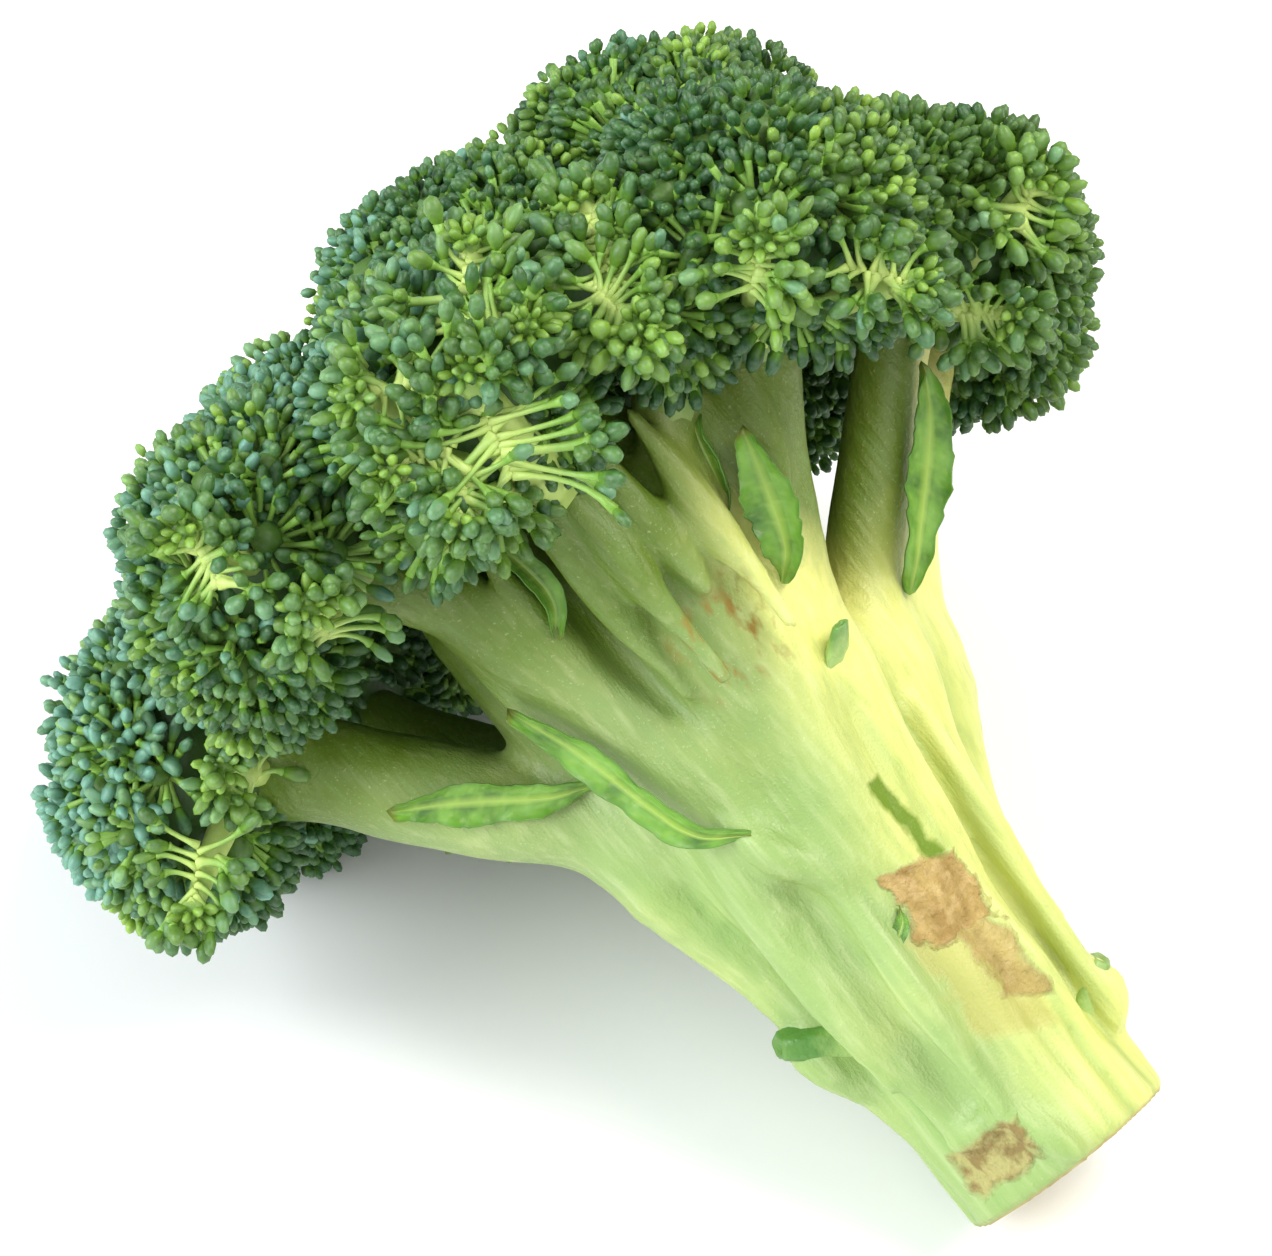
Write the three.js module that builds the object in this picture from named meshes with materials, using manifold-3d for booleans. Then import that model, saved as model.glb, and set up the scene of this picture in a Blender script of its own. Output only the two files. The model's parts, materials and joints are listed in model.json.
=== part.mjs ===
// A broccoli head lying on its side, as picked. A fluted stalk with a flat cut end forks into
// branches, each branch carries a dome of flower buds (a floret), and small leaves and the stubs
// of cut leaves sit on the stalk and the branches.
//
// The head is modelled upright in its own frame, in millimetres: the cut end's centre is the
// origin and +Z runs up the stalk. The exported group then lays it on its side on the plane z = 0,
// with the stalk's foot towards +X and the crown towards -X.
import * as THREE from "three";
import { mergeVertices } from "three/addons/utils/BufferGeometryUtils.js";
import Module from "manifold-3d";

const wasm = await Module();
wasm.setup();

// ---------------------------------------------------------------- driving dimensions, mm and degrees

const STALK_RADIUS = 19.5; // at the cut end
const STALK_LENGTH = 103; // from the cut end to where the last branches part
const SHOULDER = 72; // height from which the stalk rounds over between its branches
const GAP = 0.3; // kept between pieces that touch
const FLUTE = 1.4; // height of the ridge that each branch sends down the stalk
const FLUTE_WIDTH = 0.28; // half width of such a ridge, in radians
const LEAF_THICKNESS = 1.3;
const FLORET_SPREAD = 1.18; // how much wider than tall a floret's dome is
const LEAN = 61.7; // how far the head tips over from upright
const ROLL = 56.2; // how far the head is turned about the stalk before it tips
const PRESSED = 0.5; // how far the buds and the rind give where the head rests

const BRANCH_SIDES = 12;
const STALK_SIDES = 28;
const FLORET_SIDES = 16;

// Each branch runs through these points, from inside the stalk to the heart of its floret, and
// tapers from radius foot to radius top. Each floret is a dome of that radius round its centre.
const BRANCHES = {
  left: {
    path: [[-9, -4, 52], [-24, -9, 81], [-36, -11, 98], [-51, -12, 117], [-62, -11, 128]],
    foot: 12, top: 9, centre: [-68, -10, 134.5], radius: 25,
  },
  front_left: {
    path: [[-4, -8, 56], [-9.5, -20, 84], [-14, -27, 106], [-20, -33, 128], [-29, -36, 139]],
    foot: 10.5, top: 6.5, centre: [-37, -38, 147], radius: 24.5,
  },
  front: {
    path: [[2, -8, 56], [5, -20, 84], [7, -31, 108], [5, -41, 129]],
    foot: 11.5, top: 9, centre: [3, -48, 145], radius: 26,
  },
  front_mid: {
    path: [[6, -9, 58], [11, -22, 86], [17, -33, 110], [25, -41, 129]],
    foot: 9, top: 6, centre: [30, -46, 142], radius: 19,
  },
  front_right: {
    path: [[7, -5, 56], [15, -16, 84], [25, -25, 107], [40, -34, 127]],
    foot: 10, top: 7.5, centre: [50, -40, 139.5], radius: 25,
  },
  right: {
    path: [[9, 0, 62], [27, -1, 86.5], [46, -4, 107], [62, -7, 121]],
    foot: 9, top: 6.5, centre: [72, -7, 127.5], radius: 22.5,
  },
  far_right: {
    path: [[10, 5, 50], [26, 8, 77], [38, 11, 95], [51, 17, 109], [61, 23, 117]],
    foot: 11.5, top: 8, centre: [67, 28, 124], radius: 24.5,
  },
  rear_right: {
    path: [[4, 8, 56], [10, 22, 86], [19, 39, 112], [25, 51, 130]],
    foot: 10.5, top: 7.5, centre: [28, 57, 142], radius: 29,
  },
  rear: {
    path: [[-1, 9, 56], [-6, 23, 86], [-12, 40, 112], [-16, 51, 130]],
    foot: 10.5, top: 7.5, centre: [-16, 58.5, 141], radius: 29,
  },
  rear_left: {
    path: [[-6, 6, 56], [-20, 14, 84], [-38, 22, 108], [-50, 27, 127]],
    foot: 10.5, top: 7.5, centre: [-55, 31, 139], radius: 29,
  },
  centre: {
    path: [[1, -2, 72], [6, -5, 112], [9, -8, 150]],
    foot: 9, top: 7, centre: [12, -10, 162], radius: 25.5,
  },
  centre_left: {
    path: [[-4, 0, 72], [-14, 1, 110], [-26, -2, 144]],
    foot: 8.5, top: 6.5, centre: [-30, -3, 155], radius: 25.5,
  },
  centre_right: {
    path: [[5, 2, 72], [19, 5, 110], [38, 7, 145]],
    foot: 8.5, top: 6.5, centre: [46, 6, 160.5], radius: 26.5,
  },
  centre_rear: {
    path: [[1, 5, 72], [4, 17, 110], [7, 29, 144]],
    foot: 8.5, top: 6.5, centre: [8, 32, 158], radius: 28,
  },
};

// Each leaf either runs through points, or lies along one branch, between two fractions of its
// length, on the side that it looks to, and its tip stands off by lift.
const LEAVES = {
  leaf_left_branch: {
    path: [[-22, -22, 92], [-29, -21.5, 96], [-36, -22, 101], [-42, -22.5, 105], [-48, -23, 108.5]],
    side: [-0.3, -1, -0.3], width: 7,
  },
  leaf_fork: {
    path: [[-6.5, -31.5, 70.5], [-12.5, -31.5, 76], [-15.5, -31.5, 84], [-18.5, -31, 96], [-23, -31, 108]],
    side: [-0.5, -1, 0], width: 6,
  },
  leaf_curled: {
    path: [[-13.5, -36, 131], [-9, -38.5, 127.5], [-7.5, -38, 121], [-8, -36.5, 116.5], [-10.5, -35, 113]],
    side: [0.5, -1, 0], width: 4.5,
  },
  leaf_front: {
    path: [[27.5, -43, 126], [26, -42.5, 122], [25, -41, 118], [24, -39, 114.5], [22.5, -37, 111]],
    side: [-0.6, -1, 0], width: 4,
  },
  leaf_cupped: {
    path: [[20, -31, 97.5], [24.5, -34, 100.5], [27.5, -36.5, 105.5], [29.5, -40, 111.5], [31.5, -42, 118]],
    side: [-0.5, -1, 0.2], width: 8,
  },
  leaf_long: {
    path: [[36, -6, 85], [42, -7.5, 91.5], [48.5, -8, 98], [54.5, -10.5, 104.5], [59, -15, 111.5]],
    side: [0.4, -1, -0.3], width: 7.5,
  },
  leaf_rear_right: { on: "rear_right", from: 0.35, to: 0.72, side: [0.6, 0.6, -1], lift: 4, width: 8 },
  leaf_rear: { on: "rear", from: 0.4, to: 0.75, side: [-0.9, 0.4, -0.8], lift: 3, width: 7 },
  leaf_rear_left: { on: "rear_left", from: 0.3, to: 0.7, side: [-0.6, -0.5, -1], lift: 4, width: 8 },
};

// What is left of a leaf that was cut or torn away: a short stub that leaves the stalk at an
// azimuth and a height and leans up the stalk as it stands out.
const STUBS = {
  stub_foot: { azimuth: 246, height: 9, out: 2, rise: 6, width: 12, depth: 5 },
  stub_left: { azimuth: 202, height: 37, out: 4.5, rise: 6, width: 8, depth: 5 },
  stub_right: { azimuth: 348, height: 17, out: 4, rise: 6, width: 7, depth: 4.5 },
  stub_fork: { azimuth: 311, height: 83.5, out: 4, rise: 4.5, width: 7, depth: 3 },
  stub_rear: { azimuth: 104, height: 33, out: 4, rise: 6, width: 9, depth: 5 },
};

// ---------------------------------------------------------------- solids

const vector = (a) => new THREE.Vector3(...a);

// A closed three.js geometry as a solid that can be joined and cut.
function solidOf(geometry) {
  const bare = geometry.clone();
  bare.deleteAttribute("normal");
  bare.deleteAttribute("uv");
  const merged = mergeVertices(bare, 1e-3);
  return new wasm.Manifold(
    new wasm.Mesh({
      numProp: 3,
      vertProperties: merged.attributes.position.array,
      triVerts: new Uint32Array(merged.index.array),
    }),
  );
}

// A solid as a three.js geometry.
function geometryOf(solid) {
  const mesh = solid.getMesh();
  const geometry = new THREE.BufferGeometry();
  geometry.setAttribute("position", new THREE.BufferAttribute(mesh.vertProperties, 3));
  geometry.setIndex(new THREE.BufferAttribute(mesh.triVerts, 1));
  geometry.computeVertexNormals();
  return geometry;
}

// The largest of the separate bodies that cutting may leave.
function largestBody(solid) {
  return solid.decompose().reduce((a, b) => (b.volume() > a.volume() ? b : a));
}

// A cylinder bent along a curve. section(t, angle) gives its half width and half depth there, and
// facing is the side that its depth is measured towards.
function sweep(points, section, facing, sides, steps) {
  const curve = new THREE.CatmullRomCurve3(points.map(vector));
  const geometry = new THREE.CylinderGeometry(1, 1, 1, sides, steps);
  const at = geometry.attributes.position;
  for (let i = 0; i < at.count; i++) {
    const [x, y, z] = [at.getX(i), at.getY(i), at.getZ(i)];
    const t = y + 0.5;
    const along = curve.getTangentAt(t);
    const out = facing.clone().addScaledVector(along, -facing.dot(along)).normalize();
    const across = new THREE.Vector3().crossVectors(along, out);
    const { width, depth } = section(t, Math.atan2(z, x));
    const p = curve.getPointAt(t).addScaledVector(across, x * width).addScaledVector(out, z * depth);
    at.setXYZ(i, p.x, p.y, p.z);
  }
  return solidOf(geometry);
}

// Away from the head's axis, which is how round pieces are turned about their own line.
const outward = ([x, y]) => new THREE.Vector3(x, y, 0.01).normalize();

// How thick the stalk is at a height: it flares towards the fork, then rounds over.
function stalkRadius(height) {
  const flare = 1.2e-3 * height ** 2 + 1.3e-7 * height ** 4;
  const over = Math.max(0, height - SHOULDER) / (STALK_LENGTH + 1 - SHOULDER);
  return (STALK_RADIUS + flare) * Math.sqrt(Math.max(0, 1 - over ** 2));
}

// The stalk, with a ridge below each branch.
function stalk(grow = 0) {
  const ridges = Object.values(BRANCHES).map(({ path }) => Math.atan2(path[1][1], path[1][0]));
  const section = (t, angle) => {
    const ridge = ridges.reduce((sum, a) => {
      const apart = Math.atan2(Math.sin(angle - a), Math.cos(angle - a));
      return sum + Math.exp(-((apart / FLUTE_WIDTH) ** 2));
    }, 0);
    const radius = stalkRadius(t * STALK_LENGTH) + FLUTE * (ridge - 0.6) + grow;
    return { width: radius, depth: radius };
  };
  const path = [[0, 0, 0], [0, 0, STALK_LENGTH + grow]];
  return sweep(path, section, new THREE.Vector3(0, 1, 0), STALK_SIDES, 13);
}

// How thick a branch is at a fraction of its length.
const branchRadius = ({ foot, top }, t) => foot + (top - foot) * Math.sin((t * Math.PI) / 2);

// A branch, thick at the fork and slimmer towards its floret.
function branch(shape, grow = 0) {
  const section = (t) => {
    const radius = branchRadius(shape, t) + grow;
    return { width: radius, depth: radius };
  };
  return sweep(shape.path, section, outward(shape.path[1]), BRANCH_SIDES, 7);
}

// A floret: a broad, lumpy dome that looks away from the fork and is drawn in underneath.
function floret({ path, centre, radius }) {
  const middle = vector(centre);
  const axis = middle.clone().sub(vector(path[path.length - 2])).normalize();
  const geometry = new THREE.SphereGeometry(1, FLORET_SIDES, 11);
  geometry.rotateX(Math.PI / 2);
  const turn = new THREE.Quaternion().setFromUnitVectors(new THREE.Vector3(0, 0, 1), axis);
  const at = geometry.attributes.position;
  for (let i = 0; i < at.count; i++) {
    const p = new THREE.Vector3().fromBufferAttribute(at, i);
    const lumps = Math.sin(5 * p.x + centre[0]) * Math.cos(5 * p.y + centre[1]);
    const under = THREE.MathUtils.smoothstep(-p.z, 0.1, 1);
    p.multiply(new THREE.Vector3(FLORET_SPREAD, FLORET_SPREAD, 1));
    p.multiplyScalar(radius * (1 + 0.03 * lumps - 0.4 * under));
    p.applyQuaternion(turn).add(middle);
    at.setXYZ(i, p.x, p.y, p.z);
  }
  return solidOf(geometry);
}

// A block that fills the space beyond a plane through point, on the side that normal looks to.
function beyond(point, normal) {
  const size = 400;
  const block = new THREE.BoxGeometry(size, size, size).translate(0, 0, size / 2);
  block.applyQuaternion(new THREE.Quaternion().setFromUnitVectors(new THREE.Vector3(0, 0, 1), normal));
  return solidOf(block.translate(point.x, point.y, point.z));
}

// What a floret gives up where it presses against its neighbour: all that lies beyond the plane
// in which the two domes meet.
function pressedAway(mine, other) {
  const [a, b] = [vector(mine.centre), vector(other.centre)];
  const apart = a.distanceTo(b);
  const normal = b.clone().sub(a).normalize();
  const reach = (apart ** 2 + mine.radius ** 2 - other.radius ** 2) / (2 * apart);
  return beyond(a.addScaledVector(normal, reach - GAP / 2), normal);
}

// The line of a leaf on its branch: it starts in the rind and rises off towards its tip.
function alongBranch({ on, from, to, lift }, facing) {
  const host = BRANCHES[on];
  const curve = new THREE.CatmullRomCurve3(host.path.map(vector));
  return [0, 0.25, 0.5, 0.75, 1].map((s) => {
    const t = from + (to - from) * s;
    const along = curve.getTangentAt(t);
    const out = facing.clone().addScaledVector(along, -facing.dot(along)).normalize();
    const height = branchRadius(host, t) + GAP + LEAF_THICKNESS * s + lift * s ** 2;
    return curve.getPointAt(t).addScaledVector(out, height).toArray();
  });
}

// A leaf: a thin strip, widest past its middle and narrow at both ends.
function leaf(shape) {
  const { side, width } = shape;
  const facing = vector(side).normalize();
  const path = shape.path ?? alongBranch(shape, facing);
  const section = (t) => ({
    width: (width / 2) * (0.28 + 0.72 * Math.sin(Math.PI * Math.min(1, t * 0.93 + 0.03)) ** 0.8),
    depth: LEAF_THICKNESS / 2,
  });
  return sweep(path, section, facing, 8, 7);
}

// A stub: short, flattened against the stalk and rounded off.
function stub({ azimuth, height, out, rise, width, depth }) {
  const turn = THREE.MathUtils.degToRad(azimuth);
  const away = new THREE.Vector3(Math.cos(turn), Math.sin(turn), 0);
  const path = [-1, 0.2, 1].map((s) => {
    const z = height + rise * s;
    return away.clone().multiplyScalar(stalkRadius(z) + out * s * 0.8).setZ(z).toArray();
  });
  const section = (t) => {
    const end = Math.sqrt(1 - 0.55 * t ** 2);
    return { width: (width / 2) * end, depth: (depth / 2) * end };
  };
  return sweep(path, section, away, 10, 4);
}

// ---------------------------------------------------------------- the head, upright

const names = Object.keys(BRANCHES);
const woody = new Map([["stalk", stalk()]]);
let taken = stalk(GAP);
for (const name of names) {
  woody.set(`branch_${name}`, largestBody(branch(BRANCHES[name]).subtract(taken)));
  taken = taken.add(branch(BRANCHES[name], GAP));
}

const florets = new Map();
for (const name of names) {
  const mine = BRANCHES[name];
  let solid = floret(mine);
  for (const other of names) {
    if (other !== name) solid = solid.subtract(pressedAway(mine, BRANCHES[other]));
  }
  florets.set(`floret_${name}`, largestBody(solid.subtract(taken)));
}

const small = new Map();
for (const [name, shape] of Object.entries(LEAVES)) small.set(name, leaf(shape));
for (const [name, shape] of Object.entries(STUBS)) small.set(name, stub(shape));
for (const [name, solid] of small) small.set(name, largestBody(solid.subtract(taken)));

// ---------------------------------------------------------------- materials

const finish = (color, roughness) => new THREE.MeshStandardMaterial({ color, roughness, metalness: 0 });
const RIND = finish(0xb4cc7e, 0.5);
const BUDS = finish(0x3f6b3c, 0.65);
const LEAF = finish(0x6fa03c, 0.5);
const DRY = finish(0x9a8a52, 0.8);

// ---------------------------------------------------------------- laid on its side

const head = new THREE.Group();
head.rotation.order = "ZYX";
head.rotation.set(0, -THREE.MathUtils.degToRad(LEAN), 0);
const turned = new THREE.Group();
turned.rotation.z = THREE.MathUtils.degToRad(ROLL);
head.add(turned);

function place(solids, material) {
  for (const [name, solid] of solids) {
    const mesh = new THREE.Mesh(geometryOf(solid), material);
    mesh.name = name;
    turned.add(mesh);
  }
}
place(woody, RIND);
place(florets, BUDS);
place(new Map([...small].filter(([name]) => name.startsWith("leaf"))), LEAF);
place(new Map([...small].filter(([name]) => name.startsWith("stub"))), DRY);

// The origin goes under the middle of the head, at the surface that it lies on.
head.updateMatrixWorld(true);
const box = new THREE.Box3().setFromObject(head, true);
head.position.set(
  -(box.min.x + box.max.x) / 2,
  -(box.min.y + box.max.y) / 2,
  -box.min.z - PRESSED,
);
head.updateMatrixWorld(true);

// Where it rests, the buds and the rind are pressed flat.
const floor = solidOf(new THREE.BoxGeometry(600, 600, 100).translate(0, 0, -50).applyMatrix4(
  turned.matrixWorld.clone().invert(),
));
turned.traverse((mesh) => {
  if (!mesh.isMesh) return;
  mesh.geometry = geometryOf(largestBody(solidOf(mesh.geometry).subtract(floor)));
});

const part = new THREE.Group();
part.add(head);

export default part;
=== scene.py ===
"""A broccoli head that lies on its side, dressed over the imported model.

All shapes are worked out upright, in millimetres, with the middle of the cut end at the origin and
+Z up the stalk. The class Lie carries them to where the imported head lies. Words used throughout:
a floret is the dome of buds on one branch, a tuft is a cluster of buds within it, a pedicel is the
thin stem of one bud, and the skin is the one smooth rind of the stalk and its branches.
"""
import json
import logging
import math
from dataclasses import dataclass, field
from enum import Enum
from typing import Optional, Sequence, Union

import bpy
import numpy as np
from mathutils import Matrix

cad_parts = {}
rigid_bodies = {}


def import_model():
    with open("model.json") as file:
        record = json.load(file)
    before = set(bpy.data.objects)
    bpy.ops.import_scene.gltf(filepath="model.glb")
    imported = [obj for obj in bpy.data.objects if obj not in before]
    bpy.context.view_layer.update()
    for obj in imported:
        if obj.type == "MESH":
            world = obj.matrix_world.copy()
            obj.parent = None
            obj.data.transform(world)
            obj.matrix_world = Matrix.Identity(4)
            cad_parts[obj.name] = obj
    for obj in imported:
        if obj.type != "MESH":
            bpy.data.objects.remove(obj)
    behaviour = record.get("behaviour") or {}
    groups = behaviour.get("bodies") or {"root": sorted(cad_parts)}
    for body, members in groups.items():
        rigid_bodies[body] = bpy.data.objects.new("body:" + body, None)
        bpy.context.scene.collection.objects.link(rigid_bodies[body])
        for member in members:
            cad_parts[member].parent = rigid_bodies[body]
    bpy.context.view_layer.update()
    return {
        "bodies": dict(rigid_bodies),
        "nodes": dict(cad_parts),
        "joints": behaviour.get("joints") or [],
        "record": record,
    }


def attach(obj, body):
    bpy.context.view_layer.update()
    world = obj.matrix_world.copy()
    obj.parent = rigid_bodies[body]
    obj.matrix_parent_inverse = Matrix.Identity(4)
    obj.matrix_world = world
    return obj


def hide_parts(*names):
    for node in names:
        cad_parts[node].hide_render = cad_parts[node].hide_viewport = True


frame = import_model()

MM = 0.001
GOLDEN = math.pi * (3.0 - math.sqrt(5.0))
TILE_MARGIN = 0.03      # the empty rim of an item's tile, as a part of its side
TUFT_FLATNESS = 0.85    # a tuft's height over its radius
BUD_SIDES = 7
LEAF_ROWS = 44
log = logging.getLogger("broccoli")

Array = np.ndarray
Point = tuple[float, float, float]
Colour = tuple[float, float, float]
Shade = tuple[float, float, float, float]
Socket = bpy.types.NodeSocket
Value = Union[Socket, float]


# ------------------------------------------------------------------ numbers and vectors

def unit(vectors: Array) -> Array:
    """Each vector divided by its own length."""
    return vectors / np.maximum(np.linalg.norm(vectors, axis=-1, keepdims=True), 1e-9)


def ease(value: Array, low: float, high: float) -> Array:
    """A smooth step: 0 up to low, 1 from high, and 3s^2 - 2s^3 between them."""
    s = np.clip((value - low) / (high - low), 0.0, 1.0)
    return s * s * (3.0 - 2.0 * s)


def hump(value: Array, middle: float, width: float) -> Array:
    """A bell: e to the minus square of the distance from middle over width."""
    return np.exp(-(((value - middle) / width) ** 2))


def polar(tilt: Array, turn: Array) -> Array:
    """Unit vectors at angles tilt from the third axis, turned about it by turn, (n, 3)."""
    return np.stack([np.sin(tilt) * np.cos(turn), np.sin(tilt) * np.sin(turn), np.cos(tilt)], 1)


def smooth_path(points: Array, steps: int) -> Array:
    """A smooth curve through points, with even steps along it.

    Each span is a cubic whose end slopes are half the step between its neighbours.

    Args:
        points: The points to pass through, (k, 3).
        steps: How many points to return.

    Returns:
        The curve's points, (steps, 3).
    """
    p = np.asarray(points, float)
    slope = np.gradient(p, axis=0)
    t = np.linspace(0.0, len(p) - 1.0, 24 * len(p))
    i = np.minimum(t.astype(int), len(p) - 2)
    s = (t - i)[:, None]
    fine = ((2 * s**3 - 3 * s**2 + 1) * p[i] + (s**3 - 2 * s**2 + s) * slope[i]
            + (3 * s**2 - 2 * s**3) * p[i + 1] + (s**3 - s**2) * slope[i + 1])
    run = np.r_[0.0, np.cumsum(np.linalg.norm(np.diff(fine, axis=0), axis=1))]
    at = np.linspace(0.0, run[-1], steps)
    return np.stack([np.interp(at, run, fine[:, k]) for k in range(3)], axis=1)


def upright_frames(normals: Array, spin: Array) -> Array:
    """Frames whose third axis is the normal, turned about it by spin.

    Args:
        normals: Unit vectors, (n, 3).
        spin: Angles in radians, (n,).

    Returns:
        Matrices whose columns are the frames' axes, (n, 3, 3).
    """
    helper = np.where(np.abs(normals[:, 2:]) < 0.8, [[0.0, 0.0, 1.0]], [[1.0, 0.0, 0.0]])
    a = unit(np.cross(helper, normals))
    b = np.cross(normals, a)
    c, s = np.cos(spin)[:, None], np.sin(spin)[:, None]
    return np.stack([a * c + b * s, b * c - a * s, normals], axis=2)


@dataclass(frozen=True)
class Lie:
    """How the upright head is laid down, and where.

    A point is turned about the stalk by roll, tipped over by lean, and moved so that the middle of
    the cut end comes to foot.
    """
    lean: float = 61.7
    roll: float = 56.2

    def turn(self) -> Array:
        """The rotation: roll about Z, then lean about Y."""
        a, b = math.radians(self.roll), math.radians(-self.lean)
        ca, sa, cb, sb = math.cos(a), math.sin(a), math.cos(b), math.sin(b)
        about_z = np.array([[ca, -sa, 0], [sa, ca, 0], [0, 0, 1]])
        about_y = np.array([[cb, 0, sb], [0, 1, 0], [-sb, 0, cb]])
        return about_y @ about_z

    def foot(self) -> Array:
        """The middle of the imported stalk's cut end: the mean of the stalk's farthest points
        against the direction in which the head grows, in metres."""
        stalk = frame["nodes"]["stalk"]
        places = np.empty(len(stalk.data.vertices) * 3)
        stalk.data.vertices.foreach_get("co", places)
        places = np.unique(places.reshape(-1, 3).round(6), axis=0)
        back = -(places @ self.turn()[:, 2])
        return places[back > back.max() - 1e-4].mean(axis=0)

    def lay(self, points: Array) -> Array:
        """Points of the upright head, in mm, as points of the lying head, in metres."""
        return points @ self.turn().T * MM + self.foot()


LIE = Lie()


# ------------------------------------------------------------------ meshes

def make_piece(name: str, points: Array, faces: Array, marks: dict[str, Array],
               tiles: Optional[Array] = None) -> bpy.types.Object:
    """A smooth mesh object from upright points in mm, laid down, with attributes and a tile map.

    Args:
        name: The piece's name.
        points: Points of the upright head, in mm, (n, 3).
        faces: Corners of each face, (m, 4), where a triangle repeats its last corner.
        marks: One number per point for each attribute, or one vector per point.
        tiles: Map coordinates of each face's corners, (m, 4, 2).

    Returns:
        The object, linked to the scene and riding on the root.
    """
    laid = LIE.lay(points)
    laid[:, 2] = np.maximum(laid[:, 2], 0.0)
    is_quad = faces[:, 2] != faces[:, 3]
    sizes = np.where(is_quad, 4, 3)
    keep = np.ones(faces.shape, bool)
    keep[~is_quad, 3] = False
    mesh = bpy.data.meshes.new(name)
    mesh.vertices.add(len(laid))
    mesh.vertices.foreach_set("co", laid.astype(np.float32).ravel())
    mesh.loops.add(int(sizes.sum()))
    mesh.loops.foreach_set("vertex_index", faces[keep].astype(np.int32))
    mesh.polygons.add(len(faces))
    mesh.polygons.foreach_set("loop_start", np.r_[0, np.cumsum(sizes)[:-1]].astype(np.int32))
    mesh.polygons.foreach_set("use_smooth", np.ones(len(faces), bool))
    mesh.update(calc_edges=True)
    if tiles is not None:
        layer = mesh.uv_layers.new(name="OFBake")
        layer.data.foreach_set("uv", tiles[keep].astype(np.float32).ravel())
    for mark, values in marks.items():
        kind = "FLOAT_VECTOR" if values.ndim == 2 else "FLOAT"
        store = mesh.attributes.new(mark, kind, "POINT")
        store.data.foreach_set("vector" if values.ndim == 2 else "value",
                               values.astype(np.float32).ravel())
    mesh.validate()
    piece = bpy.data.objects.new(name, mesh)
    bpy.context.scene.collection.objects.link(piece)
    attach(piece, "root")
    log.info("%s: %d points, %d faces", name, len(laid), len(faces))
    return piece


@dataclass
class Spindles:
    """Many closed tube-like shapes of one make: rings of points, closed by a pole at each end.

    Attributes:
        rings: Points of every ring, (items, rings, sides, 3).
        poles: The first and the last pole, (items, 2, 3).
        marks: Attribute values, (items, rings * sides + 2) each, ring by ring, then both poles.
    """
    rings: Array
    poles: Array
    marks: dict[str, Array] = field(default_factory=dict)

    def faces(self) -> tuple[Array, Array]:
        """Faces and their tiles: each item has one square tile, with the way round it across and
        the way along it up.

        Returns:
            Faces, (m, 4), and the tile map's coordinates of their corners, (m, 4, 2).
        """
        items, rows, sides = self.rings.shape[:3]
        k = np.arange(sides)
        after = (k + 1) % sides
        low = np.arange(rows - 1)[:, None] * sides
        wall = np.stack([low + k, low + after, low + sides + after, low + sides + k],
                        -1).reshape(-1, 4)
        first, last, top = rows * sides, rows * sides + 1, (rows - 1) * sides
        start = np.stack([after, k, np.full(sides, first), np.full(sides, first)], -1)
        end = np.stack([top + k, top + after, np.full(sides, last), np.full(sides, last)], -1)
        one = np.concatenate([wall, start, end])
        u0, u1, um = k / sides, (k + 1) / sides, (k + 0.5) / sides
        v = (np.arange(rows) + 1.0) / (rows + 1.0)
        wide, grid, zero = np.broadcast_to, (rows - 1, sides), np.zeros(sides)
        tile_wall = np.stack([np.stack([wide(u, grid), wide(w[:, None], grid)], -1) for u, w in
                              ((u0, v[:-1]), (u1, v[:-1]), (u1, v[1:]), (u0, v[1:]))], 2)
        tile_start = np.stack([np.stack([u, zero + w], -1) for u, w in
                               ((u1, v[0]), (u0, v[0]), (um, 0.0), (um, 0.0))], 1)
        tile_end = np.stack([np.stack([u, zero + w], -1) for u, w in
                             ((u0, v[-1]), (u1, v[-1]), (um, 1.0), (um, 1.0))], 1)
        tile = np.concatenate([tile_wall.reshape(-1, 4, 2), tile_start, tile_end])
        tile = tile * (1 - 2 * TILE_MARGIN) + TILE_MARGIN
        across = math.ceil(math.sqrt(items))
        corner = np.stack([np.arange(items) % across, np.arange(items) // across], -1)
        faces = one[None] + (np.arange(items) * (rows * sides + 2))[:, None, None]
        tiles = (tile[None] + corner[:, None, None]) / across
        return faces.reshape(-1, 4), tiles.reshape(-1, 4, 2)

    def points(self) -> Array:
        """All points, item by item: its rings, then its two poles."""
        items = len(self.rings)
        return np.concatenate([self.rings.reshape(items, -1, 3), self.poles], 1).reshape(-1, 3)


def join_spindles(name: str, bundles: Sequence[Spindles]) -> bpy.types.Object:
    """One piece of several bundles, each with its own part of the tile map.

    Args:
        name: The piece's name.
        bundles: The bundles, which have the same attributes.

    Returns:
        The piece.
    """
    points, faces, tiles = [], [], []
    marks: dict[str, list[Array]] = {mark: [] for mark in bundles[0].marks}
    across = math.ceil(math.sqrt(len(bundles)))
    start = 0
    for number, bundle in enumerate(bundles):
        own_faces, own_tiles = bundle.faces()
        own_points = bundle.points()
        faces.append(own_faces + start)
        tiles.append((own_tiles + [number % across, number // across]) / across)
        points.append(own_points)
        start += len(own_points)
        for mark, values in bundle.marks.items():
            marks[mark].append(values.reshape(-1))
    return make_piece(name, np.concatenate(points), np.concatenate(faces),
                      {mark: np.concatenate(values) for mark, values in marks.items()},
                      np.concatenate(tiles))


def lone_spindle(name: str, rings: Array, poles: Array,
                 marks: dict[str, Array]) -> bpy.types.Object:
    """One piece of a single item, whose poles take the mean of the ring beside them.

    Args:
        name: The piece's name.
        rings: Points of every ring, (rings, sides, 3).
        poles: The first and the last pole, (2, 3).
        marks: Attribute values, (rings, sides) each.

    Returns:
        The piece.
    """
    values = {k: np.r_[v.ravel(), v[0].mean(), v[-1].mean()][None] for k, v in marks.items()}
    return join_spindles(name, [Spindles(rings[None], poles[None], values)])


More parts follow.
